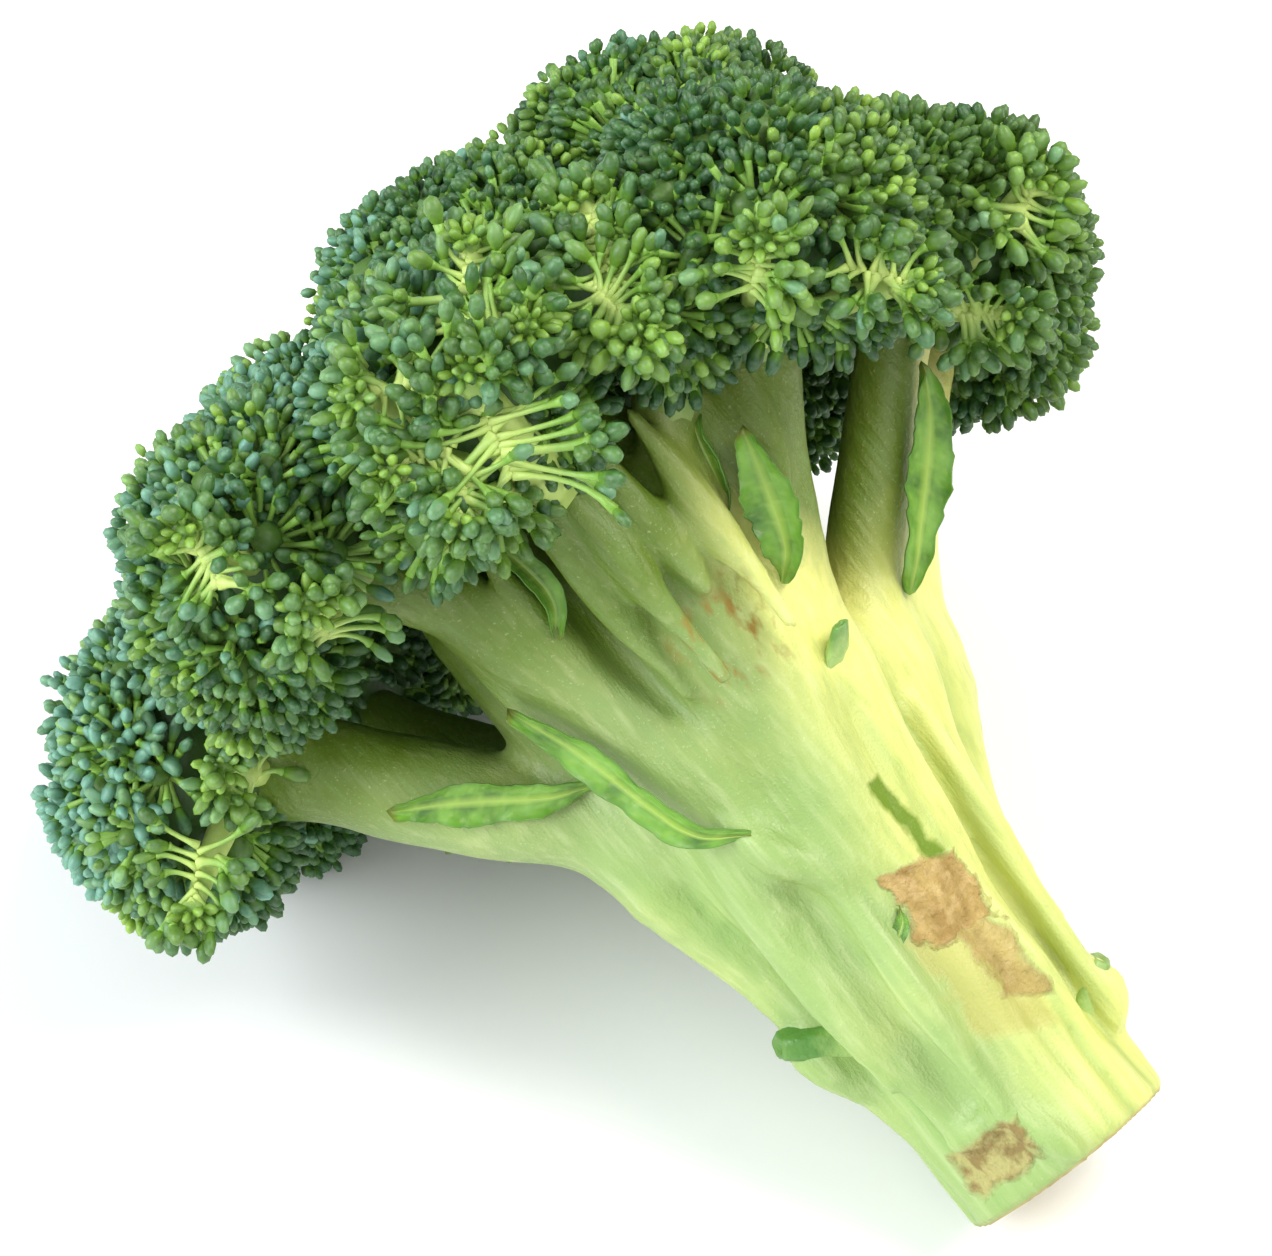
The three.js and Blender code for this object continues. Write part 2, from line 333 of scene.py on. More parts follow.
def tubes(paths: Array, radii: Array, sides: int) -> Spindles:
    """Round tubes along paths: each ring stands square to its path, and both ends are closed.

    Args:
        paths: The middle line of each tube, (items, rings, 3).
        radii: The radius at each ring, (items, rings).
        sides: Points of a ring.

    Returns:
        The tubes, with the attribute "along" from 0 at the start to 1 at the end.
    """
    items, rows = radii.shape
    along = unit(np.gradient(paths, axis=1))
    chord = unit(paths[:, -1] - paths[:, 0])
    side = upright_frames(chord, np.zeros(items))[:, :, 0][:, None]
    a = unit(np.cross(side, along))
    b = np.cross(along, a)
    angle = np.linspace(0, 2 * math.pi, sides, endpoint=False)[None]
    c, s = np.cos(angle)[:, None, :, None], np.sin(angle)[:, None, :, None]
    rings = paths[:, :, None] + radii[:, :, None, None] * (a[:, :, None] * c + b[:, :, None] * s)
    ends = np.stack([paths[:, 0] - along[:, 0] * radii[:, :1] * 0.3,
                     paths[:, -1] + along[:, -1] * radii[:, -1:] * 0.3], 1)
    run = np.linspace(0, 1, rows)
    mark = np.concatenate([np.repeat(run, sides), [0.0, 1.0]])
    return Spindles(rings, ends, {"along": np.broadcast_to(mark, (items, len(mark))).copy()})


# ------------------------------------------------------------------ the plan of the head

@dataclass(frozen=True)
class BranchPlan:
    """One branch and its floret, in upright mm.

    Attributes:
        path: Points from inside the stalk to the heart of the floret.
        foot: Radius at the fork.
        top: Radius below the floret.
        centre: The middle of the floret's dome.
        radius: The dome's radius.
        root: Where the branch's ridge fades out on the stalk: azimuth in degrees and height.
    """
    path: tuple[Point, ...]
    foot: float
    top: float
    centre: Point
    radius: float
    root: tuple[float, float]

    def axis(self) -> Array:
        """The direction in which the dome faces: away from the last bend of its branch."""
        return unit(np.subtract(self.centre, self.path[-2]))


PLAN: dict[str, BranchPlan] = {
    "left": BranchPlan(((-9, -4, 52), (-24, -9, 81), (-36, -11, 98), (-51, -12, 117),
                        (-62, -11, 128)),
                       12, 9, (-68, -10, 134.5), 25, (198, 14)),
    "front_left": BranchPlan(
        ((-4, -8, 56), (-9.5, -20, 84), (-14, -27, 106), (-20, -33, 128), (-29, -36, 139)),
        10.5, 6.5, (-37, -38, 147), 24.5, (232, 6)),
    "front": BranchPlan(((2, -8, 56), (5, -20, 84), (7, -31, 108), (5, -41, 129)),
                        11.5, 9, (3, -48, 145), 26, (268, 2)),
    "front_mid": BranchPlan(((6, -9, 58), (11, -22, 86), (17, -33, 110), (25, -41, 129)),
                            9, 6, (30, -46, 142), 19, (288, 4)),
    "front_right": BranchPlan(((7, -5, 56), (15, -16, 84), (25, -25, 107), (40, -34, 127)),
                              10, 7.5, (50, -40, 139.5), 25, (310, 8)),
    "right": BranchPlan(((9, 0, 62), (27, -1, 86.5), (46, -4, 107), (62, -7, 121)),
                        9, 6.5, (72, -7, 127.5), 22.5, (346, 30)),
    "far_right": BranchPlan(((10, 5, 50), (26, 8, 77), (38, 11, 95), (51, 17, 109), (61, 23, 117)),
                            11.5, 8, (67, 28, 124), 24.5, (12, 6)),
    "rear_right": BranchPlan(((4, 8, 56), (10, 22, 86), (19, 39, 112), (25, 51, 130)),
                             10.5, 7.5, (28, 57, 142), 29, (60, 10)),
    "rear": BranchPlan(((-1, 9, 56), (-6, 23, 86), (-12, 40, 112), (-16, 51, 130)),
                       10.5, 7.5, (-16, 58.5, 141), 29, (108, 4)),
    "rear_left": BranchPlan(((-6, 6, 56), (-20, 14, 84), (-38, 22, 108), (-50, 27, 127)),
                            10.5, 7.5, (-55, 31, 139), 29, (152, 12)),
    "centre": BranchPlan(((1, -2, 72), (6, -5, 112), (9, -8, 150)), 9, 7, (12, -10, 162),
                         25.5, (0, 60)),
    "centre_left": BranchPlan(((-4, 0, 72), (-14, 1, 110), (-26, -2, 144)),
                              8.5, 6.5, (-30, -3, 155), 25.5, (180, 60)),
    "centre_right": BranchPlan(((5, 2, 72), (19, 5, 110), (38, 7, 145)),
                               8.5, 6.5, (46, 6, 160.5), 26.5, (10, 60)),
    "centre_rear": BranchPlan(((1, 5, 72), (4, 17, 110), (7, 29, 144)),
                              8.5, 6.5, (8, 32, 158), 28, (90, 60)),
}


def stalk_radius(height: Array) -> Array:
    """The stalk's radius in mm: 19.5 plus 0.0012 h^2 plus 1.3e-7 h^4 at height h."""
    return 19.5 + 1.2e-3 * height**2 + 1.3e-7 * height**4


# ------------------------------------------------------------------ finishes

def srgb(red: float, green: float, blue: float) -> Shade:
    """A colour given as 0 to 255 on the screen scale, as the shader's linear colour."""
    c = np.array([red, green, blue]) / 255.0
    linear = np.where(c <= 0.04045, c / 12.92, ((c + 0.055) / 1.055) ** 2.4)
    return float(linear[0]), float(linear[1]), float(linear[2]), 1.0


class Sum(Enum):
    """The operations on two values that the finishes use, with Blender's name of each."""
    PLUS = "ADD"
    MINUS = "SUBTRACT"
    TIMES = "MULTIPLY"
    MOST = "MAXIMUM"
    LEAST = "MINIMUM"


# How much light enters the flesh of every finish, and how far in metres.
FLESH_LIGHT = 0.12
FLESH_DEPTH = 2.0 * MM


class NodeBook:
    """Builds one node material, one small step at a time."""

    def __init__(self, name: str, inner_colour: Colour) -> None:
        """Starts a material with a shader and an output.

        Args:
            name: The material's name.
            inner_colour: How far light of each colour goes in, relative to the others.
        """
        self.material = bpy.data.materials.new(name)
        self.material.use_nodes = True
        self.tree = self.material.node_tree
        self.tree.nodes.clear()
        self.shader = self.tree.nodes.new("ShaderNodeBsdfPrincipled")
        output = self.tree.nodes.new("ShaderNodeOutputMaterial")
        self.tree.links.new(self.shader.outputs["BSDF"], output.inputs["Surface"])
        self.shader.inputs["Subsurface Weight"].default_value = FLESH_LIGHT
        self.shader.inputs["Subsurface Radius"].default_value = inner_colour
        self.shader.inputs["Subsurface Scale"].default_value = FLESH_DEPTH
        self.place = self.tree.nodes.new("ShaderNodeTexCoord").outputs["Object"]

    def mark(self, name: str, part: str = "Fac") -> Socket:
        """An attribute of the mesh: its value, or its vector when part is Vector."""
        node = self.tree.nodes.new("ShaderNodeAttribute")
        node.attribute_name = name
        return node.outputs[part]

    def join(self, kind: Sum, first: Value, second: Value, clamp: bool = False) -> Socket:
        """Two values joined by one operation, each a socket or a number.

        Args:
            kind: The operation.
            first: The first value.
            second: The second value.
            clamp: Whether the answer stays between 0 and 1.

        Returns:
            The answer's socket.
        """
        node = self.tree.nodes.new("ShaderNodeMath")
        node.operation = kind.value
        node.use_clamp = clamp
        for socket, value in zip(node.inputs, (first, second)):
            if isinstance(value, (int, float)):
                socket.default_value = value
            else:
                self.tree.links.new(value, socket)
        return node.outputs["Value"]

    def plus(self, first: Value, second: Value, clamp: bool = False) -> Socket:
        """The sum of two values."""
        return self.join(Sum.PLUS, first, second, clamp)

    def minus(self, first: Value, second: Value) -> Socket:
        """The first value less the second."""
        return self.join(Sum.MINUS, first, second)

    def times(self, first: Value, second: Value) -> Socket:
        """The product of two values."""
        return self.join(Sum.TIMES, first, second)

    def most(self, first: Value, second: Value) -> Socket:
        """The larger of two values."""
        return self.join(Sum.MOST, first, second)

    def least(self, first: Value, second: Value) -> Socket:
        """The smaller of two values."""
        return self.join(Sum.LEAST, first, second)

    def stretch(self, vector: Socket, scale: Point) -> Socket:
        """A vector with each of its parts multiplied by the part of scale."""
        node = self.tree.nodes.new("ShaderNodeMapping")
        node.inputs["Scale"].default_value = scale
        self.tree.links.new(vector, node.inputs["Vector"])
        return node.outputs["Vector"]

    def noise(self, vector: Socket, scale: float, detail: float = 3.0) -> Socket:
        """Smooth noise over a vector, about 0.3 to 0.7."""
        node = self.tree.nodes.new("ShaderNodeTexNoise")
        node.inputs["Scale"].default_value = scale
        node.inputs["Detail"].default_value = detail
        self.tree.links.new(vector, node.inputs["Vector"])
        return node.outputs["Fac"]

    def ramp(self, value: Socket, stops: Sequence[tuple[float, tuple]]) -> Socket:
        """Colours along a value, given as places from 0 to 1 and colours."""
        node = self.tree.nodes.new("ShaderNodeValToRGB")
        ramp = node.color_ramp
        while len(ramp.elements) < len(stops):
            ramp.elements.new(0.5)
        for element, (position, colour) in zip(ramp.elements, stops):
            element.position = position
            element.color = colour
        self.tree.links.new(value, node.inputs["Fac"])
        return node.outputs["Color"]

    def window(self, value: Socket, low: float, high: float) -> Socket:
        """A value as 0 at low and 1 at high, and clamped outside."""
        node = self.tree.nodes.new("ShaderNodeMapRange")
        node.inputs["From Min"].default_value = low
        node.inputs["From Max"].default_value = high
        self.tree.links.new(value, node.inputs["Value"])
        return node.outputs["Result"]

    def box(self, rest: Socket, box: "Box", soft: float, ragged: float) -> Socket:
        """How far a place lies inside a box in X and Z on the near side, with a ragged rim.

        Args:
            rest: The upright place, in mm.
            box: X from and to, Z from and to, and how much Z falls for each mm of X.
            soft: The width of the rim's step.
            ragged: How far noise moves the rim.

        Returns:
            A value from 0 outside to 1 inside.
        """
        parts = self.tree.nodes.new("ShaderNodeSeparateXYZ")
        self.tree.links.new(rest, parts.inputs["Vector"])
        wave = self.times(self.minus(self.noise(rest, 0.22, 5.0), 0.5), ragged)
        x, z = self.plus(parts.outputs["X"], wave), self.minus(parts.outputs["Z"], wave)
        z = self.plus(z, self.times(self.minus(x, box[0]), box[4]))
        rim = self.least(self.minus(x, box[0]), self.minus(box[1], x))
        rim = self.least(rim, self.minus(z, box[2]))
        rim = self.least(rim, self.minus(box[3], z))
        near = self.window(parts.outputs["Y"], -2.0, -5.0)
        return self.times(self.window(rim, -soft / 2, soft / 2), near)

    def blend(self, part: Socket, first: Union[Socket, Shade],
              second: Union[Socket, Shade]) -> Socket:
        """Two colours mixed, the second by part.

        Args:
            part: How much of the second colour there is.
            first: A socket or a colour.
            second: A socket or a colour.

        Returns:
            The mixed colour's socket.
        """
        node = self.tree.nodes.new("ShaderNodeMix")
        node.data_type = "RGBA"
        self.tree.links.new(part, node.inputs["Factor"])
        for name, value in (("A_Color", first), ("B_Color", second)):
            socket = next(s for s in node.inputs if s.identifier == name)
            if isinstance(value, tuple):
                socket.default_value = value
            else:
                self.tree.links.new(value, socket)
        return next(s for s in node.outputs if s.identifier == "Result_Color")

    def finish(self, colour: Socket, roughness: Socket, height: Socket,
               depth: float) -> bpy.types.Material:
        """Connects the colour, the roughness and a bump of a depth in metres.

        Returns:
            The finished material.
        """
        self.tree.links.new(colour, self.shader.inputs["Base Color"])
        self.tree.links.new(roughness, self.shader.inputs["Roughness"])
        bump = self.tree.nodes.new("ShaderNodeBump")
        bump.inputs["Distance"].default_value = depth
        bump.inputs["Strength"].default_value = 1.0
        self.tree.links.new(height, bump.inputs["Height"])
        self.tree.links.new(bump.outputs["Normal"], self.shader.inputs["Normal"])
        return self.material


@dataclass(frozen=True)
class RindFinish:
    """The stalk's rind: pale waxy green, turning cream towards its right side, which is partly its
    own colour and partly painted light where the lamp falls, and olive on the upper branches, which
    is partly painted shade. It has long faint fibres, grooves and a slit darkened as painted shade,
    dried scars, brown specks and the cut face's rings."""
    name: str = "rind"
    green: Shade = srgb(151, 174, 106)
    # Partly the rind's own cream and partly painted light, where the lamp falls on the right side.
    cream: Shade = srgb(236, 232, 134)
    # Partly the branches' own olive and partly painted shade, where the upper branches lie in
    # shadow.
    olive: Shade = srgb(88, 114, 16)
    pale: Shade = srgb(222, 228, 178)
    scar: Shade = srgb(182, 156, 92)
    dark_scar: Shade = srgb(150, 122, 64)
    # Painted shade: the darker green of the grooves between the lobes.
    deep: Shade = srgb(118, 156, 72)
    vein: Shade = srgb(122, 154, 84)
    torn_pale: Shade = srgb(222, 192, 140)
    torn_edge: Shade = srgb(116, 88, 44)
    # A faint tan patch below the torn scar.
    faint_tan: Shade = srgb(172, 160, 80)
    # Painted shade: the dark green of the slit's narrow groove.
    slit: Shade = srgb(108, 136, 28)
    foot_dark: Shade = srgb(132, 106, 58)
    foot_pale: Shade = srgb(170, 160, 100)
    speck: Shade = srgb(142, 112, 34)
    blotch: Shade = srgb(168, 138, 84)

    def material(self) -> bpy.types.Material:
        """Builds the rind."""
        book = NodeBook(self.name, (0.8, 1.0, 0.35))
        rest = book.mark("rest", "Vector")
        fibre = book.noise(book.stretch(rest, (0.55, 0.55, 0.035)), 1.0, 4.0)
        cloud = book.noise(rest, 0.055, 3.0)
        fine = book.noise(rest, 2.2, 2.0)
        # The cream blend is partly painted light: bleach makes the rind paler towards its lit right
        # side.
        tone = book.plus(book.times(book.minus(cloud, 0.5), 0.9), book.mark("cream_and_painted_light"))
        colour = book.blend(book.plus(tone, 0.0, True), self.green, self.cream)
        # Partly painted shade: shade turns the upper branches olive and darker where they lie in
        # shadow, and the pale streaks fade there.
        colour = book.blend(book.mark("shade"), colour, self.olive)
        streak = book.times(book.window(fibre, 0.5, 0.72),
                           book.minus(1.0, book.times(book.mark("shade"), 0.7)))
        colour = book.blend(book.times(streak, 0.24), colour, self.pale)
        veins = book.window(fibre, 0.5, 0.3)
        colour = book.blend(book.times(veins, 0.26), colour, self.vein)
        colour = book.blend(book.times(book.window(fine, 0.62, 0.78), 0.25), colour, self.pale)
        # Painted shade: the grooves between the lobes are darkened.
        colour = book.blend(book.times(book.mark("groove"), 0.55), colour, self.deep)
        torn = book.box(rest, SCARS[0], 0.9, 7.0)
        torn = book.most(torn, book.times(book.box(rest, SCARS[1], 1.2, 6.0), 0.8))
        faint = book.times(book.box(rest, SCARS[2], 2.0, 5.0), 0.55)
        slit = book.box(rest, SCARS[3], 0.8, 3.0)
        foot = book.box(rest, SCARS[4], 1.4, 6.0)
        patch = book.blend(book.window(book.noise(book.stretch(rest, (0.3, 0.3, 0.12)), 1.0, 4.0),
                                       0.38, 0.62),
                           self.scar, self.dark_scar)
        patch = book.blend(book.times(book.window(book.noise(rest, 0.5, 3.0), 0.45, 0.8), 0.5),
                           patch, self.torn_pale)
        edge = book.times(book.window(torn, 0.95, 0.3), 0.5)
        patch = book.blend(edge, patch, self.torn_edge)
        # A faint tan patch below the torn scar.
        colour = book.blend(faint, colour, self.faint_tan)
        # Painted shade: the slit is coloured dark green for the shadow in its groove.
        colour = book.blend(slit, colour, self.slit)
        colour = book.blend(torn, colour, patch)
        colour = book.blend(book.times(foot, 0.9), colour, book.blend(
            book.window(book.noise(rest, 0.35, 4.0), 0.42, 0.6), self.foot_dark, self.foot_pale))
        speck = book.window(book.noise(book.stretch(rest, (0.42, 0.42, 0.17)), 1.0, 5.0), 0.5, 0.66)
        speck = book.times(speck, book.box(rest, (3.5, 17, 89, 103, 0.0), 4.5, 8.0))
        colour = book.blend(speck, colour, self.speck)
        dry = book.most(book.most(torn, foot), book.mark("cut"))
        ring = book.mark("ring")
        face = book.ramp(ring, [(0.0, srgb(206, 204, 150)), (0.6, srgb(214, 204, 148)),
                                (0.78, srgb(182, 160, 104)), (0.86, srgb(222, 206, 150)),
                                (0.97, srgb(176, 148, 92)), (1.0, srgb(150, 122, 70))])
        blotch = book.window(book.noise(rest, 0.3, 5.0), 0.42, 0.66)
        face = book.blend(book.times(blotch, 0.5), face, self.blotch)
        colour = book.blend(book.mark("cut"), colour, face)
        rough = book.plus(0.36, book.times(dry, 0.35))
        rough = book.plus(rough, book.times(cloud, 0.14))
        height = book.plus(book.times(fibre, 0.5), book.times(fine, 0.14))
        height = book.plus(height, book.times(book.noise(rest, 0.8, 4.0), dry))
        return book.finish(colour, rough, height, 0.9 * MM)


@dataclass(frozen=True)
class BudFinish:
    """A bud: dull blue-green with a pale waxy bloom on its top, greener towards its foot, and
    yellow-green where it is young. Tufts that face up and to the left are lighter and bluer, partly
    the bloom and partly painted light, and each bud is darker along its creases, painted shade."""
    name: str = "buds"
    dark: Shade = srgb(30, 64, 32)
    deep: Shade = srgb(38, 80, 30)
    green: Shade = srgb(50, 97, 40)
    blue: Shade = srgb(110, 162, 141)
    foot: Shade = srgb(102, 148, 42)
    young: Shade = srgb(140, 178, 58)
    bloom: Shade = srgb(142, 172, 158)

    def material(self) -> bpy.types.Material:
        """Builds the bud finish."""
        book = NodeBook(self.name, (0.5, 1.0, 0.3))
        along, tint = book.mark("along"), book.mark("tint")
        # tint is partly painted light: tufts that face up and to the left, where the lamp falls,
        # are lighter and bluer.
        shade = book.plus(tint, book.times(book.minus(book.noise(book.place, 60.0), 0.5), 0.8))
        body = book.ramp(shade, [(0.1, self.deep), (0.5, self.green), (0.95, self.blue)])
        foot = book.window(along, 0.55, 0.15)
        body = book.blend(foot, body, self.foot)
        body = book.blend(book.mark("young"), body, self.young)
        bloom = book.window(book.noise(book.place, 1400.0, 3.0), 0.45, 0.75)
        body = book.blend(book.times(book.times(bloom, along), 0.3), body, self.bloom)
        # Painted shade: each bud darkens along its four creases and where they meet at its tip.
        crease = book.mark("crease")
        body = book.blend(book.times(crease, 0.35), body, self.dark)
        rough = book.plus(0.4, book.times(bloom, 0.25))
        height = book.noise(book.place, 1100.0, 3.0)
        return book.finish(body, rough, height, 0.12 * MM)


@dataclass(frozen=True)
class StemFinish:
    """The thin stems under the buds: pale yellow-green, greener towards the buds, and darkened by
    painted shade the deeper inside the floret they lie.
    """
    name: str = "pedicels"
    pale: Shade = srgb(184, 206, 112)
    green: Shade = srgb(112, 156, 54)
    middle: Shade = srgb(140, 176, 84)
    # Painted shade: the dark green of stems deep inside the floret.
    inner: Shade = srgb(56, 88, 36)

    def material(self) -> bpy.types.Material:
        """Builds the stem finish."""
        book = NodeBook(self.name, (0.7, 1.0, 0.3))
        run = book.plus(book.mark("along"), book.minus(book.noise(book.place, 120.0), 0.5))
        colour = book.ramp(run, [(0.0, self.pale), (0.5, self.middle), (1.0, self.green)])
        # Painted shade: the deep mark darkens the stems that lie deep inside the floret.
        colour = book.blend(book.most(book.mark("deep"), 0.0), colour, self.inner)
        height = book.noise(book.place, 700.0, 3.0)
        rough = book.plus(0.36, book.times(height, 0.2))
        return book.finish(colour, rough, height, 0.2 * MM)


@dataclass(frozen=True)
class LeafFinish:
    """A leaf: mid green with a paler midrib and side veins, and darker towards its rim."""
    name: str = "leaf"
    green: Shade = srgb(104, 150, 50)
    rib: Shade = srgb(160, 188, 84)
    rim: Shade = srgb(62, 106, 32)
    light: Shade = srgb(128, 172, 76)
    dry: Shade = srgb(118, 98, 50)

    def material(self) -> bpy.types.Material:
        """Builds the leaf finish."""
        book = NodeBook(self.name, (0.5, 1.0, 0.2))
        cloud = book.noise(book.place, 180.0, 4.0)
        colour = book.ramp(cloud, [(0.3, self.rim), (0.5, self.green), (0.75, self.light)])
        colour = book.blend(book.mark("rib"), colour, self.rib)
        colour = book.blend(book.mark("rim"), colour, self.rim)
        colour = book.blend(book.mark("dry"), colour, self.dry)
        height = book.plus(cloud, book.mark("rib"))
        rough = book.plus(0.32, book.times(cloud, 0.2))
        return book.finish(colour, rough, height, 0.35 * MM)


@dataclass(frozen=True)
class StubFinish:
    """A cut leaf stem: pale as the rind at its foot, dark green near its end, and dried brown
    where it was cut."""
    name: str = "cut_stem"
    pale: Shade = srgb(178, 204, 118)
    green: Shade = srgb(82, 132, 50)
    dry: Shade = srgb(134, 108, 62)
    dry_dark: Shade = srgb(86, 70, 38)

    def material(self) -> bpy.types.Material:
        """Builds the stub finish."""
        book = NodeBook(self.name, (0.6, 1.0, 0.3))
        cloud = book.noise(book.place, 300.0, 4.0)
        cloudy = book.times(book.minus(cloud, 0.5), 0.9)
        colour = book.blend(book.plus(book.mark("green"), cloudy, True), self.pale, self.green)
        dried = book.blend(book.window(cloud, 0.4, 0.62), self.dry, self.dry_dark)
        colour = book.blend(book.plus(book.mark("dry"), book.times(cloudy, book.mark("dry")), True),
                            colour, dried)
        rough = book.plus(0.38, book.times(book.mark("dry"), 0.4))
        return book.finish(colour, rough, book.noise(book.place, 900.0, 4.0), 0.3 * MM)


# ------------------------------------------------------------------ the stalk and its branches

def level_surface(values: Array, low: Array, step: float) -> tuple[Array, Array]:
    """The surface on which a field on a grid of points is zero, as one mesh of quads.

    Every cell that the surface crosses gets one point, the mean of the places where the cell's
    edges change sign. Every grid edge that changes sign gets one quad, through the four cells
    round it, and its front looks to where the field is positive.

    Args:
        values: The field, (nx, ny, nz), negative inside.
        low: The first grid point.
        step: The distance between grid points.

    Returns:
        Points, (n, 3), and quads, (m, 4).
    """
    shape = np.array(values.shape)
    inside = values < 0
    offsets = np.array([[i, j, k] for i in (0, 1) for j in (0, 1) for k in (0, 1)])
    cells = tuple(shape - 1)
    count = sum(inside[i:i + cells[0], j:j + cells[1], k:k + cells[2]].astype(np.int8)
                for i, j, k in offsets)
    active = (count > 0) & (count < 8)
    number = np.full(cells, -1, np.int64)
    number[active] = np.arange(active.sum())
    cell = np.argwhere(active)
    total, crossings = np.zeros((len(cell), 3)), np.zeros(len(cell))
    pairs = [(a, b) for a in offsets for b in offsets if (b - a).min() >= 0 and (b - a).sum() == 1]
    for a, b in pairs:
        at_a = values[tuple((cell + a).T)].astype(float)
        at_b = values[tuple((cell + b).T)].astype(float)
        cross = (at_a < 0) != (at_b < 0)
        part = np.where(cross, at_a / np.where(cross, at_a - at_b, 1.0), 0.0)
        total += np.where(cross[:, None], cell + a + part[:, None] * (b - a), 0.0)
        crossings += cross
    points = total / crossings[:, None] * step + low
    quads = []
    for axis in range(3):
        f, g = np.eye(3, dtype=int)[(axis + 1) % 3], np.eye(3, dtype=int)[(axis + 2) % 3]
        ends = [inside[tuple(slice(0, -1) if k == axis else slice(None) for k in range(3))],
                inside[tuple(slice(1, None) if k == axis else slice(None) for k in range(3))]]
        start = np.argwhere(ends[0] != ends[1])
        round_ = np.stack([start - f - g, start - g, start, start - f], 1)
        fits = ((round_ >= 0) & (round_ < shape - 1)).all(axis=(1, 2))
        start, round_ = start[fits], round_[fits]
        quad = number[tuple(np.moveaxis(round_, 2, 0))]
        outward = inside[tuple(start.T)]
        quads.append(np.where(outward[:, None], quad, quad[:, ::-1]))
    return points, np.concatenate(quads)


def relax(points: Array, quads: Array, rounds: int, part: float) -> Array:
    """Moves each point towards the mean of its neighbours, by part, and repeats that."""
    edges = np.concatenate([quads[:, [0, 1]], quads[:, [1, 2]], quads[:, [2, 3]], quads[:, [3, 0]]])
    edges = np.concatenate([edges, edges[:, ::-1]])
    degree = np.bincount(edges[:, 0], minlength=len(points))[:, None]
    for _ in range(rounds):
        mean = np.stack([np.bincount(edges[:, 0], points[edges[:, 1], k], len(points))
                         for k in range(3)], 1) / degree
        points = points + part * (mean - points)
    return points


Box = tuple[float, float, float, float, float]

# Places on the near side's rind: the torn and dried scar in two parts, a faint tan patch below
# it, a slit whose dark green is painted shade in its groove, and the dried scar of a cut leaf.
# Each is X from and to, Z from and to, and how much Z falls for each mm of X. Then how deep each
# place is, in mm.
SCARS: tuple[Box, ...] = ((4.4, 15.4, 40, 53.5, 0.26), (8.6, 14.6, 27, 42, 0.7),
                          (2.0, 13.0, 24, 43, 0.5),
                          (12.2, 14.6, 50, 66, 0.0), (-14.5, -2.5, 4.5, 12.5, 0.0))
SCAR_DEPTHS = (0.9, 0.6, 0.3, 1.5, 0.8)


def inside_box(points: Array, box: Box, soft: float) -> Array:
    """How far points on the near side lie inside a sloping box in X and Z: 0 outside, 1 inside,
    and a smooth step over soft mm within its rim."""
    x, y = points[..., 0], points[..., 1]
    z = points[..., 2] + box[4] * (x - box[0])
    rim = np.minimum(np.minimum(x - box[0], box[1] - x), np.minimum(z - box[2], box[3] - z))
    return ease(rim, 0.0, 2 * soft) * (y < -2)


